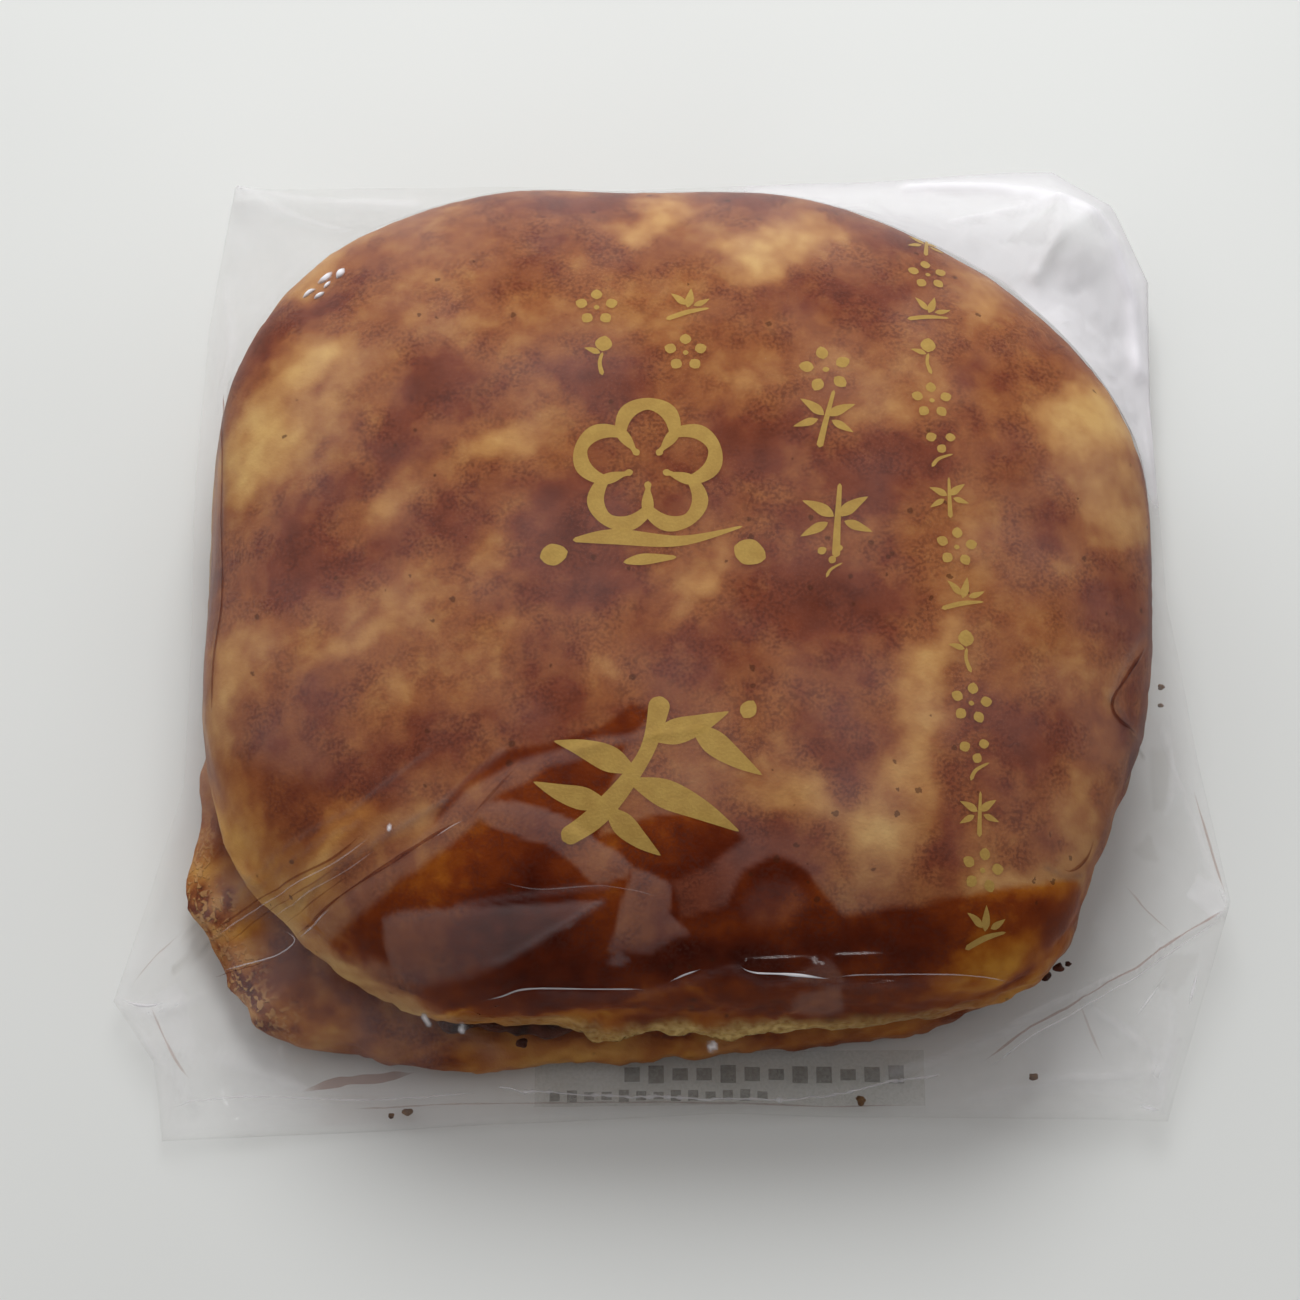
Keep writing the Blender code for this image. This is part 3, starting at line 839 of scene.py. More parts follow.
def link_content(name: str, skin: RingSkin, material: Material) -> Piece:
    """Makes a skin one of the pieces that stand for the model's bag: the film and what lies in it."""
    piece = link_piece(name, skin.mesh(name), material)
    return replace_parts(piece, "film_bag")


# Node trees


class Graph:
    """A node tree under construction."""

    def __init__(self, tree: Tree) -> None:
        """Starts on an empty tree."""
        self.tree = tree

    def put(self, socket: Socket, value: object) -> None:
        """Links a socket to another one, or gives it a constant."""
        if isinstance(value, Socket):
            self.tree.links.new(value, socket)
        else:
            socket.default_value = value

    def feed(self, node: Node, inputs: dict) -> Node:
        """Feeds a node's sockets, each by its name or number, and gives the node."""
        for name, value in inputs.items():
            self.put(node.inputs[name], value)
        return node

    def add(self, kind: str, inputs: dict | None = None, **settings: object) -> Node:
        """Adds a node.

        Args:
            kind: The node's type name.
            inputs: What its sockets get, by name or number.
            **settings: The node's own settings.

        Returns:
            The node.
        """
        node = self.tree.nodes.new(kind)
        for name, value in settings.items():
            setattr(node, name, value)
        return self.feed(node, inputs or {})

    def math(self, operation: str, first: object, second: object = 0.0, clamp: bool = False) -> Socket:
        """Adds a sum of two numbers and gives its result."""
        node = self.add("ShaderNodeMath", {0: first, 1: second}, operation=operation, use_clamp=clamp)
        return node.outputs[0]

    def spread(self, value: object, low: float, high: float, to_low: float = 0.0,
               to_high: float = 1.0) -> Socket:
        """Adds a smooth map from one range to another and gives its result."""
        sockets = {"Value": value, "From Min": low, "From Max": high, "To Min": to_low, "To Max": to_high}
        return self.add("ShaderNodeMapRange", sockets, interpolation_type="SMOOTHSTEP").outputs[0]

    def mix(self, share: object, first: object, second: object) -> Socket:
        """Adds a mix of two colours and gives its result."""
        return self.add("ShaderNodeMix", {0: share, 6: first, 7: second}, data_type="RGBA").outputs[2]

    def ramp(self, value: object, stops: Stops) -> Socket:
        """Adds a colour ramp and gives its colour."""
        node = self.add("ShaderNodeValToRGB", {"Fac": value})
        while len(node.color_ramp.elements) < len(stops):
            node.color_ramp.elements.new(0.5)
        for element, (place, colour) in zip(node.color_ramp.elements, stops):
            element.position = place
            element.color = (*colour, 1.0)
        return node.outputs["Color"]

    def place_in_mm(self) -> Socket:
        """Adds the object's own coordinates in millimetres."""
        place = self.add("ShaderNodeTexCoord").outputs["Object"]
        return self.add("ShaderNodeVectorMath", {0: place, "Scale": 1.0 / MM}, operation="SCALE").outputs[0]

    def noise(self, place: Socket, size: float, detail: float = 2.0) -> Socket:
        """Adds noise whose blobs are about as large as the size, and gives its value."""
        node = self.add("ShaderNodeTexNoise", {"Vector": place, "Scale": 1.0 / size, "Detail": detail})
        return node.outputs["Fac"]

    def painted(self, name: str) -> Socket:
        """Adds the number painted on the mesh under a name."""
        return self.add("ShaderNodeAttribute", attribute_name=name).outputs["Fac"]


def new_group(name: str, inputs: Sequence[str],
              outputs: Sequence[tuple[str, str]]) -> tuple[Graph, dict, dict]:
    """Starts a shader node group.

    Args:
        name: The group's name.
        inputs: The names of its inputs, all plain numbers.
        outputs: The names and kinds of its outputs.

    Returns:
        Its graph, what its inputs give and where its outputs go.
    """
    tree = bpy.data.node_groups.new(name, "ShaderNodeTree")
    for label in inputs:
        tree.interface.new_socket(name=label, in_out="INPUT", socket_type="NodeSocketFloat")
    for label, kind in outputs:
        tree.interface.new_socket(name=label, in_out="OUTPUT", socket_type=f"NodeSocket{kind}")
    graph = Graph(tree)
    given, wanted = graph.add("NodeGroupInput"), graph.add("NodeGroupOutput")
    gives = {label: given.outputs[label] for label in inputs}
    takes = {label: wanted.inputs[label] for label, _ in outputs}
    return graph, gives, takes


@dataclass(frozen=True)
class PanBrowning:
    """The browning of a griddled skin: mottled and freckled, with pits, dry or wetted by the film.

    Its sizes say how large the specks, blots and bubbles are. Its colour stops run from pale to nearly burnt.
    """

    speck_size: float = 0.33
    blot_size: float = 1.7
    cloud_size: float = 3.4
    foam_size: float = 0.62
    pit_crowd_size: float = 12.0
    pits_per_mm: float = 0.55
    blot_strength: float = 0.42
    speck_strength: float = 0.56
    pit_strength: float = 0.62
    bubble_strength: float = 0.85
    dry_roughness: float = 0.68
    wet_roughness: float = 0.42
    speck_brown: Colour = (0.085, 0.024, 0.016)
    pit_brown: Colour = (0.060, 0.018, 0.008)
    bubble_tan: Colour = (0.56, 0.30, 0.12)
    dry: Stops = (
        (0.0, (0.60, 0.36, 0.135)), (0.25, (0.46, 0.225, 0.082)), (0.5, (0.312, 0.112, 0.044)),
        (0.75, (0.203, 0.054, 0.028)), (1.0, (0.125, 0.032, 0.019)),
    )
    wet: Stops = (
        (0.0, (0.58, 0.25, 0.032)), (0.28, (0.36, 0.100, 0.011)), (0.5, (0.205, 0.037, 0.0062)),
        (0.75, (0.112, 0.0155, 0.0034)), (1.0, (0.054, 0.0062, 0.0018)),
    )
    crumb: Stops = ((0.25, (0.36, 0.19, 0.055)), (0.5, (0.56, 0.36, 0.12)), (0.75, (0.68, 0.47, 0.19)))

    def group(self) -> Tree:
        """Builds the effect.

        Returns:
            The group: Toast, Wet, Pale, Crisp, Freckle and Pits in; Color, Roughness and Height out.
        """
        graph, given, wanted = new_group("pan_browning", ("Toast", "Wet", "Pale", "Crisp", "Freckle", "Pits"),
                                         (("Color", "Color"), ("Roughness", "Float"), ("Height", "Float")))
        place = graph.place_in_mm()
        fine = graph.math("SUBTRACT", graph.noise(place, self.speck_size, 1.0), 0.5)
        coarse = graph.math("SUBTRACT", graph.noise(place, self.blot_size, 3.0), 0.5)
        dark = graph.spread(given["Toast"], 0.30, 0.64)
        clouds = graph.spread(graph.noise(place, self.cloud_size, 1.0), 0.38, 0.62, 0.25, 1.0)
        dark = graph.math("MULTIPLY", dark, clouds)
        specks = graph.math("MULTIPLY", graph.spread(fine, -0.13, 0.17), dark)
        specks = graph.math("MULTIPLY", specks, given["Freckle"])
        toast = graph.math("ADD", given["Toast"], graph.math("MULTIPLY", coarse, self.blot_strength))
        spacing = {"Vector": place, "Scale": self.pits_per_mm, "Randomness": 1.0}
        cells = graph.add("ShaderNodeTexVoronoi", spacing)
        chosen = graph.add("ShaderNodeSeparateColor", {"Color": cells.outputs["Color"]}).outputs["Red"]
        crowd = graph.spread(graph.noise(place, self.pit_crowd_size, 0.0), 0.35, 0.65, 0.35, 1.15)
        crowd = graph.math("MULTIPLY", chosen, crowd)
        ragged = graph.math("ADD", cells.outputs["Distance"], graph.math("MULTIPLY", fine, 0.28))
        pit = graph.math("LESS_THAN", ragged, graph.spread(crowd, 0.30, 1.0, 0.0, 0.17))
        pit = graph.math("MULTIPLY", pit, given["Pits"])
        dry, wet = graph.ramp(toast, self.dry), graph.ramp(toast, self.wet)
        foam = graph.noise(place, self.foam_size, 1.0)
        crumb = graph.ramp(foam, self.crumb)
        bubbles = graph.math("MULTIPLY", graph.spread(foam, 0.50, 0.62), given["Crisp"])
        colour = graph.mix(given["Wet"], dry, wet)
        for mask, strength, tone in ((specks, self.speck_strength, self.speck_brown),
                                     (pit, self.pit_strength, self.pit_brown),
                                     (bubbles, self.bubble_strength, self.bubble_tan)):
            colour = graph.mix(graph.math("MULTIPLY", mask, strength), colour, (*tone, 1.0))
        pores = graph.math("MULTIPLY", graph.spread(foam, 0.35, 0.6), given["Pale"])
        height = graph.math("ADD", graph.math("MULTIPLY", fine, 0.35), bubbles)
        roughness = graph.spread(given["Wet"], 0.0, 1.0, self.dry_roughness, self.wet_roughness)
        graph.put(wanted["Color"], graph.mix(given["Pale"], colour, crumb))
        graph.put(wanted["Roughness"], roughness)
        graph.put(wanted["Height"], graph.math("ADD", height, pores))
        return graph.tree


def film_ripple() -> Tree:
    """Builds the film's fine unevenness.

    Returns:
        The group: Size in; Height and Flecks out.
    """
    graph, given, wanted = new_group("film_ripple", ("Size",), (("Height", "Float"), ("Flecks", "Float")))
    place = graph.place_in_mm()
    scaled = graph.add("ShaderNodeVectorMath", {0: place, "Scale": graph.math("DIVIDE", 1.0, given["Size"])},
                       operation="SCALE").outputs[0]
    graph.put(wanted["Height"], graph.noise(scaled, 1.0, 0.0))
    graph.put(wanted["Flecks"], graph.spread(graph.noise(place, 0.28, 2.0), 0.42, 0.62))
    return graph.tree


def new_material(name: str) -> tuple[Material, Graph, Node]:
    """Starts a material.

    Args:
        name: Its name.

    Returns:
        The material, its graph and its Principled shader.
    """
    material = bpy.data.materials.new(name)
    material.use_nodes = True
    return material, Graph(material.node_tree), material.node_tree.nodes["Principled BSDF"]


def bumped(graph: Graph, height: Socket, depth: float) -> Socket:
    """Turns a height of 0 to 1 into a normal, for relief of the given depth."""
    node = graph.add("ShaderNodeBump", {"Height": height, "Distance": depth * MM, "Strength": 1.0})
    return node.outputs["Normal"]


# Finishes


@dataclass(frozen=True)
class BrownedSkin:
    """A griddled cake: brown skin above and below, pale crumb where it is torn or cut."""

    name: str
    freckle: float = 1.0
    pits: float = 1.0
    relief: float = 0.12
    shine: float = 0.04

    def material(self, browning: Tree) -> Material:
        """Builds the material from the browning group."""
        material, graph, surface = new_material(self.name)
        skin = graph.add("ShaderNodeGroup", {
            "Toast": graph.painted("toast"), "Wet": graph.painted("wet"), "Pale": graph.painted("pale"),
            "Crisp": graph.painted("crisp"), "Freckle": self.freckle, "Pits": self.pits,
        }, node_tree=browning)
        graph.feed(surface, {
            "Base Color": skin.outputs["Color"],
            "Roughness": skin.outputs["Roughness"],
            "Normal": bumped(graph, skin.outputs["Height"], self.relief),
            "Specular IOR Level": self.shine,
        })
        return material


@dataclass(frozen=True)
class SweetPaste:
    """Glossy dark bean paste with skins and crushed beans."""

    dark: Colour = (0.030, 0.008, 0.005)
    light: Colour = (0.110, 0.030, 0.016)
    lump_size: float = 1.6
    gloss_size: float = 0.8
    bump_size: float = 0.5
    relief: float = 0.25
    shine: float = 0.12

    def material(self) -> Material:
        """Builds the material."""
        material, graph, surface = new_material("bean_paste")
        place = graph.place_in_mm()
        lumps = graph.noise(place, self.lump_size, 3.0)
        graph.feed(surface, {
            "Base Color": graph.ramp(lumps, ((0.35, self.dark), (0.7, self.light))),
            "Roughness": graph.spread(graph.noise(place, self.gloss_size, 2.0), 0.3, 0.7, 0.35, 0.6),
            "Normal": bumped(graph, graph.noise(place, self.bump_size, 3.0), self.relief),
            "Specular IOR Level": self.shine,
        })
        return material


@dataclass(frozen=True)
class ClearFilm:
    """Thin clear film: a pale veil where it stands off, and a gloss that grows at a slant.

    The veil stands partly for the film's reflections, so it is in part a painted reflection, and it also
    carries painted highlights and glints. dim greys what is seen through the film and carries painted shade.
    """

    name: str
    veil: float = 1.0
    veil_colour: Colour = (0.91, 0.89, 0.94)
    veil_roughness: float = 0.85
    veil_shine: float = 0.1
    clear: Colour = (0.992, 0.992, 0.990)
    greyed: Colour = (0.64, 0.62, 0.58)
    face_on: float = 0.002
    slant: float = 0.28
    slant_power: float = 5.0
    roughness: float = 0.045
    ripple_size: float = 0.7
    ripple: float = 0.0

    def material(self, ripples: Tree) -> Material:
        """Builds the material from the ripple group."""
        material, graph, haze = new_material(self.name)
        graph.feed(haze, {
            "Base Color": (*self.veil_colour, 1.0),
            "Roughness": self.veil_roughness,
            "Specular IOR Level": self.veil_shine,
        })
        uneven = {}
        if self.ripple > 0.0:
            wave = graph.add("ShaderNodeGroup", {"Size": self.ripple_size}, node_tree=ripples)
            uneven["Normal"] = bumped(graph, wave.outputs["Height"], self.ripple)
        seen = graph.mix(graph.painted("dim"), (*self.clear, 1.0), (*self.greyed, 1.0))
        through = graph.add("ShaderNodeBsdfTransparent", {"Color": seen}).outputs[0]
        share = graph.math("MULTIPLY", graph.painted("veil"), self.veil)
        veiled = graph.add("ShaderNodeMixShader", {0: share, 1: through, 2: haze.outputs[0]}).outputs[0]
        gloss = graph.add("ShaderNodeBsdfGlossy", {"Roughness": self.roughness, **uneven}).outputs[0]
        slant = graph.add("ShaderNodeLayerWeight", {"Blend": 0.5, **uneven}).outputs["Facing"]
        mirror = graph.math("MULTIPLY", graph.math("POWER", slant, self.slant_power), self.slant)
        mirror = graph.math("ADD", mirror, self.face_on, clamp=True)
        skin = graph.add("ShaderNodeMixShader", {0: mirror, 1: veiled, 2: gloss}).outputs[0]
        graph.feed(material.node_tree.nodes["Material Output"], {"Surface": skin})
        return material


@dataclass(frozen=True)
class PrintedInk:
    """Ink on the film, a little uneven, with a dull metal shine if it is gold."""

    name: str
    light: Colour
    deep: Colour
    cover: float = 0.94
    thin: float = 0.06
    metallic: float = 0.35
    roughness: float = 0.48
    cloud_size: float = 1.2
    relief: float = 0.01

    def material(self, ripples: Tree) -> Material:
        """Builds the material from the ripple group's flecks."""
        material, graph, surface = new_material(self.name)
        wave = graph.add("ShaderNodeGroup", {"Size": self.cloud_size}, node_tree=ripples)
        flecks = wave.outputs["Flecks"]
        graph.feed(surface, {
            "Base Color": graph.mix(wave.outputs["Height"], (*self.deep, 1.0), (*self.light, 1.0)),
            "Alpha": graph.spread(flecks, 0.0, 1.0, self.cover - self.thin, self.cover),
            "Normal": bumped(graph, flecks, self.relief),
            "Metallic": self.metallic,
            "Roughness": self.roughness,
        })
        return material


# The bag


@dataclass
class FilmBag:
    """The bag of clear film, a closed skin over and under the cakes."""

    shape: BagShape
    lie: FilmLie
    finish: ClearFilm = ClearFilm("clear_film")
    spokes: int = 660
    crown_rings: int = 14
    dome_rings: int = 76
    loose_rings: int = 34
    under_rings: int = 14
    under_veil: float = 0.1

    def bearings(self) -> Array:
        """Gives evenly spaced bearings with one on each turn of the hem."""
        plain = np.linspace(0.0, 360.0, self.spokes, endpoint=False)
        nearest = np.min([apart(plain, corner) for corner in self.shape.corner_bearings], axis=0)
        return np.sort(np.append(plain[nearest > 180.0 / self.spokes], self.shape.corner_bearings))

    def build(self, ripples: Tree) -> Piece:
        """Builds the bag in place of the model's plain solid."""
        bearing = self.bearings()
        rim, hem = self.shape.rim_share * self.shape.upper_cake.reach(bearing), self.shape.hem.reach(bearing)
        crown = np.linspace(0.012, 0.38, self.crown_rings, endpoint=False)
        dome = np.append(crown, np.linspace(0.38, 1.0, self.dome_rings))[:, None] * rim
        loose = rim + np.linspace(0.0, 1.0, self.loose_rings + 1)[1:, None] * (hem - rim)
        flat = self.shape.flat_share * self.shape.lower_cake.reach(bearing)
        under = hem + np.linspace(0.0, 1.0, self.under_rings + 1)[1:, None] * (flat - hem)
        over = np.vstack([dome, loose])
        x, y = self.shape.plan(bearing, over)
        state = self.lie.at(x, y)
        out = self.shape.way_out(bearing, over)
        top = self.shape.upper_film(bearing, over) + state.pop("lift")
        top = top - 0.5 * self.shape.hem_gap * smooth_step(out, 0.8, 1.0)
        bottom = self.shape.under_film(bearing, under)
        bottom[0] = bottom[0] + 0.2
        top[-1] = bottom[0] + 0.06
        below = {"veil": self.under_veil}
        values = {name: np.vstack([value, np.full(under.shape, below.get(name, 0.0))])
                  for name, value in state.items()}
        skin = RingSkin(self.shape, bearing, np.vstack([over, under]), np.vstack([top, bottom]), values)
        return link_content("bag_film", skin, self.finish.material(ripples))


# The cakes


@dataclass(frozen=True)
class Toasting:
    """A blotch of the griddle's browning: its middle, half length, half width, turn and how much it browns."""

    x: float
    y: float
    long: float
    wide: float
    turn: float
    brown: float

    def at(self, x: Array, y: Array) -> Array:
        """Gives how much it browns at places."""
        c, s = math.cos(math.radians(self.turn)), math.sin(math.radians(self.turn))
        along, across = (x - self.x) * c + (y - self.y) * s, (y - self.y) * c - (x - self.x) * s
        return self.brown * np.exp(-((along / self.long) ** 2 + (across / self.wide) ** 2))


TOASTING = tuple(Toasting(*row) for row in (
    # Pale
    (10.1, 31.5, 7.0, 3.0, 35.0, -0.62), (-33.0, 19.0, 5.5, 2.8, 40.0, -0.50),
    (-39.5, 12.5, 5.5, 3.6, 60.0, -0.60), (39.2, 14.6, 5.5, 5.0, 20.0, -0.62),
    (-2.2, 36.3, 5.0, 2.6, 5.0, -0.50), (-21.8, 22.4, 6.5, 2.0, 30.0, -0.20),
    (-15.0, 10.8, 6.0, 2.4, 45.0, -0.24), (-27.0, 3.0, 5.5, 2.0, 30.0, -0.26),
    (-16.3, 0.0, 3.6, 1.2, 70.0, -0.32), (-29.4, -8.5, 7.0, 2.6, 25.0, -0.26),
    (2.8, -4.7, 3.4, 2.8, 60.0, -0.48), (-5.8, -13.2, 3.6, 2.0, 70.0, -0.34),
    (-23.8, -13.7, 4.6, 2.2, 40.0, -0.30), (-41.0, -11.5, 6.0, 2.6, 80.0, -0.42),
    (-40.4, -24.1, 6.5, 2.8, 115.0, -0.50), (-34.1, -30.5, 7.0, 1.8, 38.0, -0.38),
    (22.6, -12.0, 8.0, 1.9, 75.0, -0.34), (18.8, -20.0, 5.5, 2.2, 75.0, -0.34),
    (17.8, -26.4, 4.2, 2.8, 10.0, -0.48), (9.5, -22.8, 6.0, 2.2, 165.0, -0.30),
    (38.0, -10.2, 4.6, 2.6, 30.0, -0.28), (36.2, -24.2, 4.6, 2.2, 70.0, -0.34),
    (31.5, -29.6, 6.0, 1.8, 15.0, -0.45), (29.8, -37.6, 6.0, 2.6, 20.0, -0.66),
    (20.7, 13.0, 4.2, 2.2, 30.0, -0.20), (30.1, 26.8, 4.0, 2.4, 120.0, -0.24),
    (8.0, 17.2, 5.4, 1.7, 20.0, -0.22), (41.9, 5.3, 3.6, 3.0, 90.0, -0.34),
    (-33.6, 33.4, 6.5, 2.0, 45.0, -0.42), (-39.6, 28.2, 4.0, 1.8, 55.0, -0.34),
    (-22.0, 36.0, 6.0, 2.6, 15.0, -0.26), (-27.0, -38.4, 9.0, 0.9, 152.0, -0.34),
    (-6.0, -41.0, 16.0, 0.6, 0.0, -0.30), (-20.0, -29.0, 5.0, 1.8, 25.0, -0.16),
    # This broad pale blotch lightens the front left slope, which faces away from the lamp: painted light.
    (-30.5, -27.0, 10.0, 5.0, 32.0, -0.38),
    # Dark
    (-9.5, 38.0, 8.5, 2.6, 175.0, 0.42), (8.0, 38.0, 6.0, 2.6, 175.0, 0.42),
    (21.3, 35.0, 5.0, 2.4, 140.0, 0.32), (-6.0, 30.4, 4.6, 2.6, 160.0, 0.30),
    (-16.0, 28.0, 5.5, 2.2, 25.0, 0.26), (-21.5, 17.5, 5.0, 2.2, 50.0, 0.36),
    (-28.5, 9.5, 7.0, 2.4, 38.0, 0.40), (-7.7, 15.8, 5.0, 3.2, 15.0, 0.36),
    (-34.3, -1.3, 7.5, 4.2, 15.0, 0.46),
    (-20.0, 1.8, 3.4, 2.2, 60.0, 0.34), (-9.0, 2.0, 6.5, 4.4, 30.0, 0.44), (-7.0, -4.8, 6.0, 2.4, 10.0, 0.36),
    (-35.8, 25.2, 6.5, 2.2, 28.0, 0.50), (6.5, 9.2, 5.4, 4.6, 70.0, 0.42), (19.0, 7.0, 6.0, 3.8, 20.0, 0.36),
    (28.6, 18.0, 2.6, 2.6, 0.0, 0.34), (15.0, 25.0, 7.5, 3.6, 165.0, 0.32), (33.4, 4.4, 5.0, 4.4, 60.0, 0.30),
    (40.6, -2.1, 4.2, 2.6, 80.0, 0.34), (13.0, -6.5, 8.5, 6.0, 10.0, 0.34), (1.0, -10.0, 5.0, 3.0, 10.0, 0.22),
    (-33.0, -15.0, 5.5, 3.6, 20.0, 0.28), (-26.0, -20.6, 8.0, 3.4, 15.0, 0.44),
    (-11.6, -15.3, 5.5, 2.6, 10.0, 0.22), (14.4, -18.0, 4.2, 4.2, 60.0, 0.40),
    (31.0, -17.1, 5.5, 5.0, 60.0, 0.34), (24.0, -25.1, 4.8, 2.4, 80.0, 0.36),
    (6.5, -28.8, 6.5, 2.6, 10.0, 0.40), (42.6, -12.5, 6.5, 1.8, 75.0, 0.36),
    (2.0, -37.6, 16.0, 2.6, 0.0, 0.46),
    (-12.0, -21.0, 6.0, 3.0, 20.0, 0.24), (-14.0, -34.5, 7.0, 2.0, 10.0, 0.30),
    (18.0, -34.5, 6.0, 2.6, 10.0, 0.42),
))


def near_bearing(bearing: Array, middle: float, spread: float) -> Array:
    """Gives 1 at a bearing, falling off within the spread on both sides of it."""
    return np.exp(-(apart(bearing, middle) / spread) ** 2)


def pushed(bearing: Array, pushes: Sequence[Push]) -> Array:
    """Gives how far a rim is pushed out: each push has its bearing, its spread and its distance."""
    return sum(distance * near_bearing(bearing, middle, spread) for middle, spread, distance in pushes)


@dataclass
class CakeSurface:
    """What both cakes share: how many rings and spokes they have, and the noise of their skin."""

    shape: BagShape
    lie: FilmLie
    noise: SmoothNoise = field(default_factory=lambda: SmoothNoise(5))
    spokes: int = 520
    clearance: float = 0.08

    def bearings(self) -> Array:
        """Gives the evenly spaced bearings of the spokes."""
        return np.linspace(0.0, 360.0, self.spokes, endpoint=False)

    def held_in(self, bearing: Array, radius: Array, height: Array) -> Array:
        """Keeps heights between the bag's two skins.

        Args:
            bearing: The places' bearings.
            radius: The places' distances from the middle.
            height: The heights that the cake would have.

        Returns:
            The heights, clear of the film.
        """
        ceiling = self.shape.upper_film(bearing, radius) - self.clearance
        floor = self.shape.under_film(bearing, radius) + self.clearance
        return np.clip(height, floor, np.maximum(ceiling, floor))


@dataclass
class UpperCake(CakeSurface):
    """The upper cake: a mottled brown dome with a torn pale crumb edge that shows at the front."""

    finish: BrownedSkin = BrownedSkin("browned_cake_top")
    base_toast: float = 0.565
    contrast: float = 0.80
    pushes: tuple[Push, ...] = (
        (168.0, 14.0, 0.7), (210.0, 9.0, 1.2), (228.0, 9.0, 0.7), (241.0, 6.0, 0.7), (306.0, 6.0, -0.4),
        (325.0, 5.0, -0.7), (333.0, 8.5, -1.05),
    )
    torn: tuple[Push, ...] = ((260.0, 5.0, 1.2), (276.0, 9.0, 1.0), (292.0, 6.0, 0.6))
    blotch_shift: tuple[Grain, Grain] = (Grain(2.1, 5.2, 4, (3.0, -3.0)), Grain(2.1, 5.2, 4, (50.0, -50.0)))
    mottling: tuple[Grain, Grain] = (Grain(0.14, 5.6, 4), Grain(0.07, 1.9, 2, (9.0, 0.0)))
    ragged_rim: tuple[Grain, Grain] = (Grain(0.30, 2.4, 3), Grain(0.16, 0.9, 2, (-8.0, 0.0)))
    dimples: tuple[Grain, Grain] = (
        Grain(0.08, 7.0, 3, folded=True), Grain(0.05, 1.5, 2, (4.0, 0.0), folded=True),
    )
    crumb_border: Grain = Grain(0.6, 3.0, 2)
    burnt_rim: Grain = Grain(0.30, 4.0, 2)
    dome_rings: int = 92
    side: tuple[Point, ...] = (
        (0.985, 15.0), (0.996, 13.2), (1.0, 11.4), (0.997, 10.2), (0.985, 9.3), (0.955, 8.9), (0.88, 8.7),
        (0.6, 8.6),
    )

    def toast(self, x: Array, y: Array, down: Array) -> Array:
        """Gives the browning of the skin, from 0 for pale to 1 for nearly burnt.

        Args:
            x: The places' x.
            y: The places' y.
            down: How far down the cake's side they are, so that the blotches there don't run into stripes.

        Returns:
            The browning at each place.
        """
        along, across = x + down, y - 0.8 * down
        shift_x, shift_y = (self.noise.sum(along, across, grain) for grain in self.blotch_shift)
        browning = self.base_toast + sum(blotch.at(x + shift_x, y + shift_y) for blotch in TOASTING)
        for grain in self.mottling:
            browning = browning + self.noise.sum(along, across, grain)
        return 0.5 + self.contrast * (browning - 0.5)

    def build(self, browning: Tree) -> Piece:
        """Builds the cake from its crown over the rim to its under side."""
        bearing = self.bearings()
        reach = self.shape.upper_cake.reach(bearing)
        share = np.linspace(0.01, self.shape.rim_share, self.dome_rings)
        profile = spline(self.side, closed=False, steps=5)[1:]
        shares = np.append(share, profile[:, 0])[:, None]
        heights = np.append(self.shape.dome(share), profile[:, 1])[:, None]
        ring = np.repeat(bearing[None, :], len(shares), axis=0)
        x, y = self.shape.plan(ring, shares * reach)
        edge = smooth_step(shares, 0.95, 1.0) * smooth_step(heights, 8.6, 9.2)
        ragged = self.noise.sum(x, y + heights, *self.ragged_rim)
        ragged = ragged * (0.4 + 0.6 * near_bearing(ring, 270.0, 50.0))
        low = smooth_step(heights, 13.6, 11.6)
        shove = pushed(ring, self.pushes) + low * pushed(ring, self.torn)
        radius = shares * reach + edge * (ragged - 0.15 + shove)
        dimpled = heights - self.clearance - self.noise.sum(x, y, *self.dimples)
        height = self.held_in(ring, radius, dimpled)
        side_low = 1.0 - smooth_step(heights + self.noise.sum(x, y, self.crumb_border), 12.0, 13.2)
        bare = 0.12 + near_bearing(ring, 274.0, 22.0) + 0.6 * near_bearing(ring, 165.0, 16.0)
        pale = side_low * np.clip(bare, 0.0, 1.0)
        toast = self.toast(x, y, np.clip(16.0 - heights, 0.0, None))
        burnt = smooth_step(shares, 0.972, 0.99) * smooth_step(np.cos(np.radians(ring - 38.0)), 0.12, 0.40)
        toast = toast + burnt * (0.16 + self.noise.sum(x, y, self.burnt_rim))
        toast = toast - 0.22 * smooth_step(shares, 0.983, 0.996) * near_bearing(ring, 235.0, 32.0)
        values = {"toast": toast, "wet": self.lie.at(x, y)["cling"], "pale": pale}
        skin = RingSkin(self.shape, bearing, radius, height, values)
        return link_content("upper_cake", skin, self.finish.material(browning))


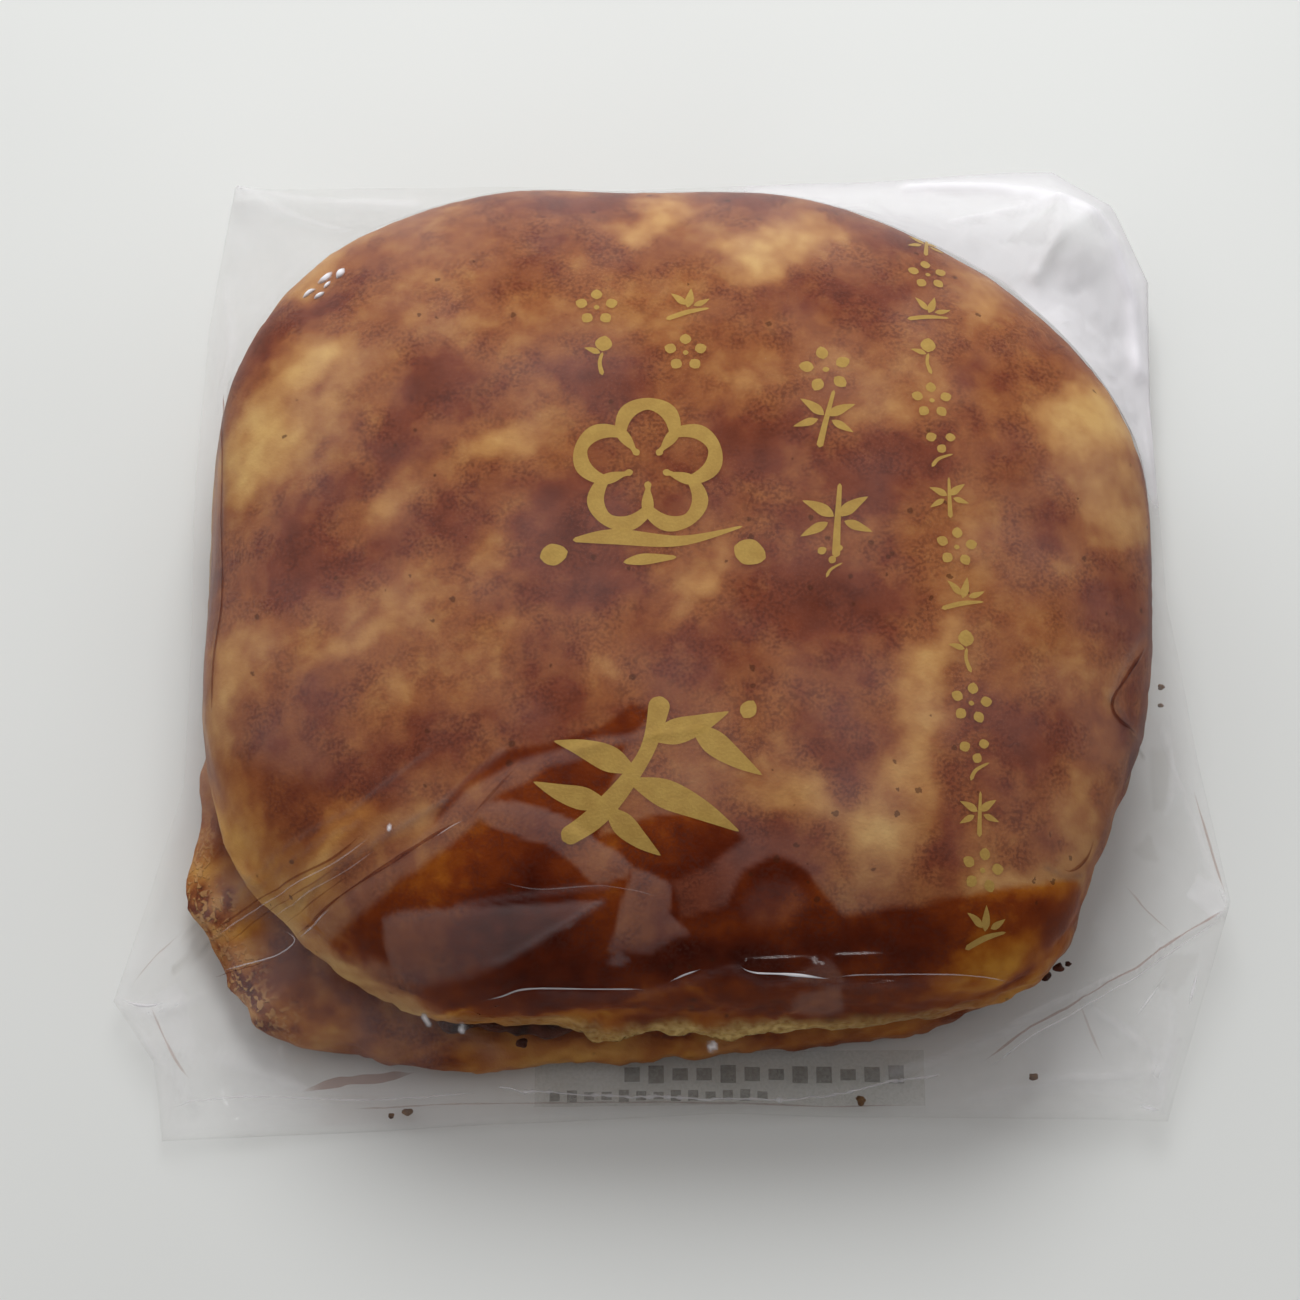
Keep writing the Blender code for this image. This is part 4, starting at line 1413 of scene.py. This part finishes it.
@dataclass
class LowerCake(CakeSurface):
    """The lower cake: browned, thin at its rim, with a crisp bubbled edge that shows at the front left."""

    finish: BrownedSkin = BrownedSkin("browned_cake_base", freckle=1.3, pits=0.4, relief=0.16)
    # The lower cake's browning and wetness are kept low partly as painted light, which brightens the ledge
    # that lies in the upper cake's shadow.
    base_toast: float = 0.47
    base_wet: float = 0.55
    top_rings: int = 40
    inner_share: float = 0.70
    bubbles: Grain = Grain(1.0, 1.5, 3)
    uneven_rim: Grain = Grain(0.35, 3.0, 2)
    mottling: Grain = Grain(0.22, 4.0, 3)
    crisp_border: Grain = Grain(0.03, 3.0, 2)
    crisp_grains: Grain = Grain(1.0, 1.3, 2)
    damp: Grain = Grain(0.25, 5.0, 2)
    pushes: tuple[Push, ...] = (
        (202.0, 3.0, -0.7), (208.5, 3.5, 0.9), (217.0, 5.0, -0.7), (231.0, 3.0, -0.6), (243.0, 8.0, 0.6),
    )

    def build(self, browning: Tree) -> Piece:
        """Builds the cake from its upper side round the rim to its under side."""
        bearing = self.bearings()
        reach = self.shape.lower_cake.reach(bearing)
        over = 1.0 - (1.0 - self.inner_share) * np.linspace(1.0, 0.0, self.top_rings) ** 1.6
        under = over[::-1][1:]
        top = self.shape.ledge(np.minimum(over, 0.99999))
        base = 0.25 + 2.4 * (1.0 - np.sqrt(np.clip(1.0 - under ** 14, 0.0, 1.0)))
        shares = np.concatenate([over, under])[:, None]
        heights = np.concatenate([top, base])[:, None]
        ring = np.repeat(bearing[None, :], len(shares), axis=0)
        x, y = self.shape.plan(ring, shares * reach)
        edge = smooth_step(shares, 0.93, 1.0)
        bubble = self.noise.sum(x, y + heights, self.bubbles)
        corner = pushed(ring, self.pushes) - 0.35
        radius = shares * reach + edge * (self.noise.sum(x, y, self.uneven_rim) + 0.22 * bubble + corner)
        height = self.held_in(ring, radius, heights - self.clearance - 0.16 * np.abs(bubble) * edge)
        crisp = near_bearing(ring, 209.0, 6.0) + near_bearing(ring, 221.0, 5.0)
        crisp = crisp * smooth_step(shares + self.noise.sum(x, y, self.crisp_border), 0.90, 0.975)
        down = np.clip(6.0 - heights, 0.0, None)
        toast = self.base_toast + self.noise.sum(x + down, y - 0.8 * down, self.mottling)
        grains = np.clip(self.noise.sum(x, y + heights, self.crisp_grains), -0.2, 1.0)
        toast = toast + crisp * (0.55 * grains - 0.10)
        rim = near_bearing(ring, 250.0, 22.0) * smooth_step(shares, 0.945, 0.962)
        toast = toast - 0.16 * rim
        wet = self.base_wet + self.noise.sum(x, y, self.damp) - 0.3 * crisp
        values = {"toast": toast, "wet": wet, "pale": np.zeros(ring.shape), "crisp": np.clip(crisp, 0.0, 1.0)}
        skin = RingSkin(self.shape, bearing, radius, height, values)
        return link_content("lower_cake", skin, self.finish.material(browning))


@dataclass
class PasteLayer(CakeSurface):
    """The bean paste between the cakes, lumpy where it shows at the rim."""

    finish: SweetPaste = SweetPaste()
    lumps: tuple[Grain, Grain] = (Grain(0.9, 3.4, 2), Grain(0.35, 1.3, 2, (6.0, 0.0)))
    profile: tuple[Point, ...] = (
        (0.3, 8.9), (0.8, 8.9), (0.93, 8.95), (0.965, 8.6), (0.972, 8.0), (0.965, 7.3), (0.93, 6.9),
        (0.8, 6.8), (0.3, 6.8),
    )
    pushes: tuple[Push, ...] = ((240.0, 5.0, 1.6), (248.0, 5.0, 2.0), (253.5, 3.0, 1.6), (269.6, 1.8, 1.4))

    def build(self) -> Piece:
        """Builds the layer as a flat cushion with lumps along its rim."""
        bearing = self.bearings()
        reach = np.minimum(self.shape.upper_cake.reach(bearing), self.shape.lower_cake.reach(bearing) + 0.4)
        line = spline(self.profile, closed=False, steps=6)
        shares, heights = line[:, :1], line[:, 1:]
        ring = np.repeat(bearing[None, :], len(shares), axis=0)
        x, y = self.shape.plan(ring, shares * reach)
        edge = smooth_step(shares, 0.85, 0.97)
        lumps = self.noise.sum(x, y, *self.lumps)
        radius = shares * reach + edge * (lumps - 0.3 + pushed(ring, self.pushes))
        height = self.held_in(ring, radius, heights + 0.25 * edge * self.noise.at(x, y, 2.0, 2))
        skin = RingSkin(self.shape, bearing, radius, height)
        return link_content("bean_paste", skin, self.finish.material())


@dataclass(frozen=True)
class Lump:
    """A small irregular lump: its middle, height, size and flattening."""

    x: float
    y: float
    z: float
    size: float
    flat: float = 0.7


@dataclass(frozen=True)
class LooseBits:
    """Small irregular lumps that make one piece, and the seed that their unevenness is drawn from."""

    name: str
    slot: Slot
    finish: SweetPaste
    seed: int
    lumps: tuple[Lump, ...]

    def build(self) -> Piece:
        """Builds all lumps as one piece."""
        noise = SmoothNoise(self.seed)
        bm = bmesh.new()
        for lump in self.lumps:
            made = bmesh.ops.create_icosphere(bm, subdivisions=3, radius=1.0)["verts"]
            ball = np.array([v.co for v in made])
            swell = 1.0 + 0.35 * noise.at(ball[:, 0] + lump.x, ball[:, 1] + ball[:, 2] + lump.y, 0.8, 2)
            ball = ball * swell[:, None] * lump.size / 2 * (1.0, 0.8, lump.flat) + (lump.x, lump.y, lump.z)
            for vertex, place in zip(made, ball):
                vertex.co = Vector(place * MM)
        mesh = bpy.data.meshes.new(self.name)
        bm.to_mesh(mesh)
        bm.free()
        return link_piece(self.name, mesh, self.finish.material())


LOOSE_CRUMBS = LooseBits("loose_crumbs", Slot.CAKE, SweetPaste((0.10, 0.045, 0.02), (0.30, 0.17, 0.08)), 31, (
    Lump(47.0, -5.5, 4.0, 0.7), Lump(46.9, -7.4, 4.0, 0.5), Lump(17.5, -45.6, 1.6, 1.1),
    Lump(-24.8, -46.6, 1.2, 0.9), Lump(-26.4, -46.9, 1.1, 0.6), Lump(33.6, -43.4, 2.0, 0.8),
))
PASTE_BEANS = LooseBits("paste_beans", Slot.PASTE, SweetPaste(), 37, (
    Lump(35.6, -34.6, 8.4, 1.0), Lump(34.4, -35.2, 8.0, 1.2), Lump(36.5, -34.3, 8.6, 0.55),
    Lump(4.6, -40.3, 8.4, 1.5), Lump(5.6, -40.1, 8.0, 1.0), Lump(-14.0, -41.6, 7.6, 1.0),
))


# The print


PETAL_TURNS = (90, 162, 234, 306, 18)


class Motif(Enum):
    """The small printed figures."""

    BLOSSOM = "blossom"
    SPRIG = "sprig"
    BUD = "bud"
    LEAVES = "leaves"
    BERRIES = "berries"


@dataclass(frozen=True)
class Stroke:
    """One brush stroke: rows of x, y and width that it passes smoothly."""

    rows: tuple[tuple[float, float, float], ...]

    def moved(self, x: float, y: float, scale: float = 1.0, turn: float = 0.0,
              weight: float = 1.0) -> "Stroke":
        """Gives the stroke turned, scaled and moved.

        Args:
            x: Where its origin goes.
            y: Where its origin goes.
            scale: How much larger it gets.
            turn: How far it turns.
            weight: How much wider than to scale it gets.

        Returns:
            The new stroke.
        """
        c, s = math.cos(math.radians(turn)), math.sin(math.radians(turn))
        return Stroke(tuple(
            (x + scale * (a * c - b * s), y + scale * (a * s + b * c), width * scale * weight)
            for a, b, width in self.rows
        ))


def petal(turn: float, near: float, far: float, half: float, weight: float) -> Stroke:
    """Gives a petal's outline as one brushed loop that thins at its ends.

    Args:
        turn: The petal's direction.
        near: Where it starts from the flower's middle.
        far: Where it ends.
        half: Its half width.
        weight: The stroke's full width.

    Returns:
        The stroke.
    """
    middle, long = (near + far) / 2, (far - near) / 2
    rows = []
    for angle, thick in ((-158, 0.25), (-105, 0.7), (-50, 1.15), (0, 0.9), (50, 1.1), (105, 0.65), (158, 0.2)):
        a = math.radians(angle)
        rows.append((middle + long * math.cos(a), half * math.sin(a), weight * thick))
    return Stroke(tuple(rows)).moved(0.0, 0.0, turn=turn)


def leaf(turn: float, near: float, far: float, weight: float, bend: float = 0.0) -> Stroke:
    """Gives a leaf as one pressed stroke, pointed at its far end.

    Args:
        turn: The leaf's direction.
        near: Where it starts.
        far: Where it ends.
        weight: Its greatest width.
        bend: How far its tip bends aside.

    Returns:
        The stroke.
    """
    span = far - near
    rows = ((near, 0.0, 0.22 * weight), (near + 0.3 * span, 0.1 * bend, weight),
            (near + 0.65 * span, 0.4 * bend, 0.72 * weight), (far, bend, 0.06 * weight))
    return Stroke(rows).moved(0.0, 0.0, turn=turn)


def dot(x: float, y: float, size: float, turn: float = 0.0) -> Stroke:
    """Gives a short pressed dot."""
    rows = ((-0.45 * size, 0.0, 0.35 * size), (0.0, 0.0, 0.8 * size), (0.5 * size, 0.0, 0.3 * size))
    return Stroke(rows).moved(x, y, turn=turn)


def motif_strokes(motif: Motif) -> list[Stroke]:
    """Gives a small figure about 1 across.

    Args:
        motif: Which figure.

    Returns:
        Its strokes round the origin.
    """
    if motif is Motif.BLOSSOM:
        petals = [dot(0.33 * math.cos(math.radians(a)), 0.33 * math.sin(math.radians(a)), 0.27, a)
                  for a in PETAL_TURNS]
        return petals + [dot(0.0, 0.0, 0.13)]
    if motif is Motif.SPRIG:
        stem = Stroke(((-0.05, -0.5, 0.10), (0.0, -0.1, 0.08), (0.08, 0.45, 0.05)))
        return [stem, leaf(140, 0.04, 0.46, 0.15, 0.06), leaf(40, 0.04, 0.48, 0.15, -0.06),
                leaf(205, 0.12, 0.5, 0.12), leaf(-25, 0.1, 0.46, 0.12)]
    if motif is Motif.BUD:
        return [Stroke(((0.0, -0.5, 0.09), (-0.06, -0.2, 0.07), (0.0, 0.05, 0.06))), dot(0.02, 0.26, 0.40, 80),
                leaf(150, 0.06, 0.42, 0.12, 0.05)]
    if motif is Motif.LEAVES:
        stem = Stroke(((-0.45, -0.3, 0.09), (0.0, -0.12, 0.10), (0.46, -0.02, 0.04)))
        return [stem, leaf(75, 0.0, 0.5, 0.16, 0.05), leaf(125, 0.08, 0.5, 0.14, 0.08),
                leaf(20, 0.14, 0.52, 0.12, 0.05)]
    return [dot(-0.22, 0.22, 0.26, 30), dot(0.2, 0.3, 0.24, 10), dot(0.04, -0.02, 0.24, 60),
            Stroke(((-0.12, -0.5, 0.08), (0.0, -0.28, 0.07), (0.3, -0.1, 0.04)))]


@dataclass
class GoldPrint:
    """The gold brush print on the bag's upper side: two large figures, some small ones and a column."""

    lie: FilmLie
    finish: PrintedInk = PrintedInk("gold_ink", (0.52, 0.335, 0.080), (0.42, 0.250, 0.055), metallic=0.2)
    above: float = 0.025
    layers: float = 0.002
    step: float = 0.22
    blossom_at: Point = (-2.4, 7.4)
    column_figures: int = 15
    column_scale: float = 4.2

    def blossom_figure(self) -> list[Stroke]:
        """Draws the large blossom over a twig with two dots at its ends."""
        strokes = []
        for turn in PETAL_TURNS:
            strokes.append(petal(turn, 1.3, 6.4, 2.5, 1.35).moved(*self.blossom_at))
            between = math.radians(turn + 36)
            x, y = self.blossom_at[0] + 1.82 * math.cos(between), self.blossom_at[1] + 1.82 * math.sin(between)
            strokes.append(dot(x, y, 0.85, turn + 36))
        strokes.append(Stroke(((-9.2, 0.2, 0.4), (-5.4, 0.5, 1.5), (0.6, 0.1, 1.0), (6.2, 1.5, 0.2))))
        strokes.append(dot(-11.0, -1.2, 2.7, 12))
        strokes.append(Stroke(((-4.6, -2.0, 0.3), (-2.8, -1.7, 1.1), (0.2, -1.5, 0.3))))
        strokes.append(dot(6.8, -1.0, 3.2, -22))
        return strokes

    def spray_figure(self) -> list[Stroke]:
        """Draws the large spray of leaves on a bent stem."""
        stem = Stroke(((-10.0, -27.6, 1.6), (-6.4, -25.0, 1.9), (-2.6, -20.0, 1.3), (-1.2, -14.8, 2.1)))
        strokes = [stem]
        for x, y, turn, long, wide, bend in (
                (-6.0, -24.4, 172, 6.8, 2.0, -1.0), (-3.6, -21.6, 150, 7.6, 2.3, 1.2),
                (-2.2, -18.6, 12, 7.4, 2.3, 0.9), (-4.0, -22.4, -18, 10.6, 2.5, -1.2),
                (-6.0, -24.8, -48, 6.2, 2.0, 0.8), (1.6, -17.4, -42, 7.6, 2.2, 0.8)):
            strokes.append(leaf(turn, 0.0, long, wide, bend).moved(x, y))
        strokes.append(dot(6.6, -16.0, 1.9, 60))
        return strokes

    def small_figures(self) -> dict[str, list[Stroke]]:
        """Draws the small figures beside the large ones."""
        made = {"gold_mark_small": [], "gold_mark_side": []}
        for x, y, motif in ((-7.2, 24.2, Motif.BLOSSOM), (1.3, 24.2, Motif.LEAVES), (-6.6, 19.0, Motif.BUD),
                            (1.1, 19.2, Motif.BLOSSOM)):
            made["gold_mark_small"] += [s.moved(x, y, 4.4, weight=1.15) for s in motif_strokes(motif)]
        beside = ((14.1, 17.6, Motif.BLOSSOM, 5.4, 10.0), (14.0, 12.6, Motif.SPRIG, 6.4, -6.0),
                  (14.8, 2.4, Motif.SPRIG, 7.6, 4.0), (14.2, -1.6, Motif.BERRIES, 3.6, 0.0))
        for x, y, motif, scale, turn in beside:
            made["gold_mark_side"] += [s.moved(x, y, scale, turn) for s in motif_strokes(motif)]
        return made

    def column(self) -> list[Stroke]:
        """Draws the narrow column of small figures near the right edge."""
        line = spline(((24.4, 34.6), (24.0, 24.0), (23.9, 15.0), (25.9, -1.2), (27.0, -20.0), (27.8, -34.6)),
                      closed=False, steps=40)
        order = (Motif.SPRIG, Motif.BLOSSOM, Motif.LEAVES, Motif.BUD, Motif.BLOSSOM, Motif.BERRIES)
        strokes = []
        run = run_along(line)
        for i in range(self.column_figures):
            at = run[-1] * i / (self.column_figures - 1)
            x, y = (float(np.interp(at, run, line[:, k])) for k in (0, 1))
            turn = 9.0 * math.sin(2.3 * i)
            figure = motif_strokes(order[i % len(order)])
            strokes += [s.moved(x, y, self.column_scale, turn, weight=1.08) for s in figure]
        return strokes

    def ribbon(self, stroke: Stroke, layer: float) -> tuple[Array, Array]:
        """Lays one stroke on the film.

        Args:
            stroke: The stroke.
            layer: How much higher it lies than the first one.

        Returns:
            Its points in millimetres and its faces.
        """
        dense = spline(stroke.rows, closed=False, steps=12)
        run = run_along(dense)
        count = max(8, int(run[-1] / self.step))
        at = np.linspace(0.0, run[-1], count)
        x, y, width = (np.interp(at, run, dense[:, k]) for k in range(3))
        for end, gap in ((0, at), (-1, run[-1] - at)):
            blunt = max(width[end] / 2, 0.02)
            width = width * np.sqrt(np.clip(1.0 - np.clip(1.0 - gap / blunt, 0.0, 1.0) ** 2, 0.02, 1.0))
        heading = np.unwrap(np.arctan2(np.gradient(y), np.gradient(x)))
        lanes = max(3, int(np.ceil(width.max() / self.step)) + 1)
        side = np.linspace(-0.5, 0.5, lanes)[None, :] * width[:, None]
        px, py = x[:, None] - side * np.sin(heading)[:, None], y[:, None] + side * np.cos(heading)[:, None]
        pz = self.lie.height(px, py) + self.above + layer
        return np.stack([px, py, pz], axis=-1).reshape(-1, 3), row_faces(count, lanes, closed=False)

    def lay(self, name: str, strokes: Sequence[Stroke], material: Material) -> Piece:
        """Makes one piece of strokes that lie on the film."""
        ribbons = [self.ribbon(stroke, self.layers * i / len(strokes)) for i, stroke in enumerate(strokes)]
        piece = link_piece(name, mesh_from(name, *joined(ribbons)), material)
        piece.visible_shadow = False
        return piece

    def build(self, ripples: Tree) -> None:
        """Lays every figure."""
        ink = self.finish.material(ripples)
        figures = {"gold_mark_blossom": self.blossom_figure(), "gold_mark_spray": self.spray_figure(),
                   **self.small_figures(), "gold_mark_column": self.column()}
        for name, strokes in figures.items():
            self.lay(name, strokes, ink)


@dataclass
class BackPanel:
    """The printed strip on the bag's back that shows through the front hem: a tint, partly print and partly
    painted shadow of the cakes, and plain bars.
    """

    shape: BagShape
    # The tint's olive grey is partly the strip's print and partly painted shadow of the cakes.
    tint: PrintedInk = PrintedInk("strip_tint_and_shade", (0.52, 0.51, 0.44), (0.46, 0.45, 0.38),
                                  cover=0.22, metallic=0.0)
    dark: PrintedInk = PrintedInk("strip_bars", (0.17, 0.15, 0.13), (0.12, 0.11, 0.09),
                                  cover=0.50, metallic=0.0)
    left: float = -13.0
    right: float = 23.5
    front: float = -46.0
    back: float = -40.5
    strip_above: float = 0.08
    bars_above: float = 0.12
    step: float = 0.5
    bar_rows: tuple[tuple[float, float, int, float, float], ...] = (
        (-11.6, 1.62, 13, 0.95, -45.0), (-4.6, 2.25, 12, 1.45, -42.9),
    )

    def plate(self, boxes: Sequence[tuple[float, float, float, float]], above: float) -> tuple[Array, Array]:
        """Lays flat plates on the under film.

        Args:
            boxes: Each plate's left, right, front and back.
            above: How far over the film they lie.

        Returns:
            The points in millimetres and the faces.
        """
        plates = []
        for left, right, front, back in boxes:
            across, deep = (max(2, int(long / self.step) + 1) for long in (right - left, back - front))
            x, y = np.meshgrid(np.linspace(left, right, across), np.linspace(front, back, deep), indexing="ij")
            z = self.shape.under_film(*self.shape.polar(x, y)) + above
            faces = row_faces(across, deep, closed=False)
            plates.append((np.stack([x, y, z], axis=-1).reshape(-1, 3), faces))
        return joined(plates)

    def build(self, ripples: Tree) -> None:
        """Builds the strip and its bars."""
        strip = self.plate([(self.left, self.right, self.front, self.back)], self.strip_above)
        link_piece("back_strip", mesh_from("back_strip", *strip), self.tint.material(ripples))
        bars = []
        for start, pitch, count, wide, middle in self.bar_rows:
            for i in range(count):
                tall = wide * (1.0 + 0.25 * math.sin(1.9 * i))
                left = start + pitch * i
                bars.append((left, left + wide, middle - tall / 2, middle + tall / 2))
        marks = mesh_from("back_bars", *self.plate(bars, self.bars_above))
        link_piece("back_bars", marks, self.dark.material(ripples))


def thread(lie: FilmLie, line: Array, thick: Array, sides: int) -> tuple[Array, Array]:
    """Lays a thin thread along the upper film.

    Args:
        lie: The film that it lies on.
        line: The x and y along its route.
        thick: Its radius along the route.
        sides: How many sides it has.

    Returns:
        Its points in millimetres, ring by ring, and its faces.
    """
    x, y = line[:, 0], line[:, 1]
    heading = np.unwrap(np.arctan2(np.gradient(y), np.gradient(x)))
    turn = np.linspace(0.0, 2 * math.pi, sides, endpoint=False)
    aside = thick[:, None] * np.cos(turn)
    points = np.stack([
        x[:, None] - aside * np.sin(heading)[:, None],
        y[:, None] + aside * np.cos(heading)[:, None],
        lie.height(x, y)[:, None] + thick[:, None] * np.sin(turn),
    ], axis=-1)
    return points.reshape(-1, 3), row_faces(len(x), sides, closed=True)


@dataclass
class FoldsAndGlints:
    """The film's sharp folds and painted glints, each a thin line that is paler or darker than the film beside
    it.

    The pale lines are painted highlights and glints, the dark ones painted shade.
    """

    lie: FilmLie
    finish: ClearFilm = ClearFilm("film_fold", greyed=(0.72, 0.56, 0.52), face_on=0.004, ripple=0.03)
    sides: int = 6
    step: float = 0.25
    taper: float = 2.5

    def build(self, ripples: Tree) -> Piece:
        """Builds all folds as one piece."""
        noise = SmoothNoise(29)
        threads, veils, dims = [], [], []
        for fold in THIN_FILM_LINES:
            dense = spline(fold.route, closed=False, steps=40)
            run = run_along(dense)
            at = np.linspace(0.0, run[-1], max(8, int(run[-1] / self.step)))
            line = np.stack([np.interp(at, run, dense[:, k]) for k in (0, 1)], axis=-1)
            ends = smooth_step(np.minimum(at, run[-1] - at), -0.2, min(self.taper, 0.4 * run[-1]))
            swell = 1.0 + 0.45 * noise.at(line[:, 0], line[:, 1], 2.2, 2)
            thick = fold.radius * np.clip(ends * swell, 0.06, 2.0)
            threads.append(thread(self.lie, line, thick, self.sides))
            shown = np.repeat(ends, self.sides)
            veils.append(fold.veil * shown)
            dims.append(fold.dim * shown)
        mesh = mesh_from("film_folds_and_glints", *joined(threads))
        paint(mesh, {"veil": np.concatenate(veils), "dim": np.concatenate(dims)})
        return link_piece("film_folds_and_glints", mesh, self.finish.material(ripples))


@dataclass
class SealLine:
    """The bead of the bag's seal along the front, with small drops that catch the light."""

    lie: FilmLie
    finish: ClearFilm = ClearFilm("film_seal", veil=0.5, face_on=0.05, ripple=0.10)
    route: tuple[Point, ...] = ((-16.2, -44.9), (-5.0, -45.5), (7.1, -45.8), (14.6, -45.4), (24.5, -44.0))
    radius: float = 0.20
    sides: int = 8

    def build(self, ripples: Tree) -> Piece:
        """Builds the bead as a thin uneven thread on the upper film."""
        line = spline(self.route, closed=False, steps=60)
        noise = SmoothNoise(23)
        line[:, 1] = line[:, 1] + 0.12 * noise.at(line[:, 0], line[:, 1], 1.4, 2)
        thick = self.radius * (0.45 + 1.1 * np.clip(noise.at(line[:, 0] * 2.0, line[:, 1], 1.1, 2), 0.0, 1.0))
        thick[[0, -1]] = 0.01
        points, faces = thread(self.lie, line, thick, self.sides)
        mesh = mesh_from("film_seal", points, faces)
        paint(mesh, {"veil": np.full(len(points), 0.6), "dim": np.zeros(len(points))})
        return link_piece("film_seal", mesh, self.finish.material(ripples))


# The set


@dataclass
class Studio:
    """The pale table, the soft light and the camera."""

    target: Place = (-2.2, -3.9, 10.0)
    tilt: float = 20.0
    distance: float = 360.0
    field: float = 0.1715 * 2
    room_strength: float = 0.76
    room_colour: Colour = (1.0, 0.99, 0.975)
    soft_energy: float = 1.0
    small_energy: float = 0.08
    table_half: float = 4000.0
    table_gap: float = 0.15
    table_colour: Colour = (0.80, 0.81, 0.805)

    def table(self) -> None:
        """Lays the table under the bag."""
        half = self.table_half * MM
        mesh = bpy.data.meshes.new("table")
        mesh.from_pydata([(-half, -half, 0.0), (half, -half, 0.0), (half, half, 0.0), (-half, half, 0.0)], [],
                         [(0, 1, 2, 3)])
        material, graph, surface = new_material("table_top")
        place = graph.place_in_mm()
        light, deep = (tuple(c * k for c in self.table_colour) for k in (1.0, 0.975))
        tone = graph.ramp(graph.noise(place, 40.0, 1.0), ((0.3, light), (0.7, deep)))
        graph.feed(surface, {"Base Color": tone, "Roughness": 0.6, "Specular IOR Level": 0.3})
        mesh.materials.append(material)
        floor = new_object("table", mesh)
        floor.location.z = -self.table_gap * MM

    def sky(self) -> None:
        """Makes the room: bright behind and above, dark on the viewer's side."""
        world = bpy.data.worlds.new("room")
        world.use_nodes = True
        bpy.context.scene.world = world
        graph = Graph(world.node_tree)
        direction = graph.add("ShaderNodeTexCoord").outputs["Generated"]
        parts = graph.add("ShaderNodeSeparateXYZ", {0: direction})
        back = graph.spread(parts.outputs["Y"], -0.5, 0.4, 0.30, 1.0)
        left = graph.spread(parts.outputs["X"], -0.8, 0.8, 1.12, 0.80)
        shine = graph.math("MULTIPLY", graph.math("MULTIPLY", back, left), self.room_strength)
        graph.feed(world.node_tree.nodes["Background"], {"Color": (*self.room_colour, 1.0), "Strength": shine})

    def lamps(self) -> None:
        """Hangs a soft lamp behind to the left, and a small bright one that makes the film sparkle."""
        soft = self.hang("soft_lamp", 220.0, self.soft_energy, (5.0, 270.0, 320.0), in_gloss=False)
        soft.data.color = (0.985, 1.0, 0.985)
        small = self.hang("small_lamp", 20.0, self.small_energy, (60.0, -590.0, 180.0), in_gloss=True)
        small.visible_diffuse = False

    def hang(self, name: str, size: float, energy: float, place: Place, in_gloss: bool) -> Piece:
        """Hangs a round lamp that points at the target.

        Args:
            name: The lamp's name.
            size: Its width.
            energy: Its power in watts.
            place: Where it hangs.
            in_gloss: Whether shiny surfaces mirror it.

        Returns:
            The hung lamp.
        """
        lamp = bpy.data.lights.new(name, "AREA")
        lamp.shape = "DISK"
        lamp.size = size * MM
        lamp.energy = energy
        holder = new_object(name, lamp)
        self.aim(holder, Vector(place))
        holder.visible_glossy = in_gloss
        return holder

    def aim(self, thing: Piece, place: Vector) -> None:
        """Puts a lamp or the camera in its place and points it at the target."""
        thing.location = place * MM
        thing.rotation_euler = (Vector(self.target) - place).to_track_quat("-Z", "Y").to_euler()

    def camera(self) -> None:
        """Sets up the photograph's view, nearly straight down."""
        tilt = math.radians(self.tilt)
        place = Vector(self.target) + Vector((0.0, -math.sin(tilt), math.cos(tilt))) * self.distance
        lens = bpy.data.cameras.new("camera")
        lens.sensor_width = 36.0
        lens.lens = lens.sensor_width / self.field
        lens.clip_start = 0.01
        eye = new_object("camera", lens)
        self.aim(eye, place)
        bpy.context.scene.camera = eye

    def build(self) -> None:
        """Sets up everything that isn't the object."""
        self.table()
        self.sky()
        self.lamps()
        self.camera()
        bpy.context.scene.view_settings.view_transform = "Standard"


def main() -> None:
    """Builds the part's looks in order."""
    logging.basicConfig(level=logging.INFO, format="%(name)s: %(message)s")
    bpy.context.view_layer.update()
    shape = BagShape()
    lie = FilmLie(shape)
    browning, ripples = PanBrowning().group(), film_ripple()
    Studio().build()
    LowerCake(shape, lie).build(browning)
    PasteLayer(shape, lie).build()
    UpperCake(shape, lie).build(browning)
    LOOSE_CRUMBS.build()
    PASTE_BEANS.build()
    FilmBag(shape, lie).build(ripples)
    BackPanel(shape).build(ripples)
    SealLine(lie).build(ripples)
    FoldsAndGlints(lie).build(ripples)
    GoldPrint(lie).build(ripples)


if __name__ == "__main__":
    main()
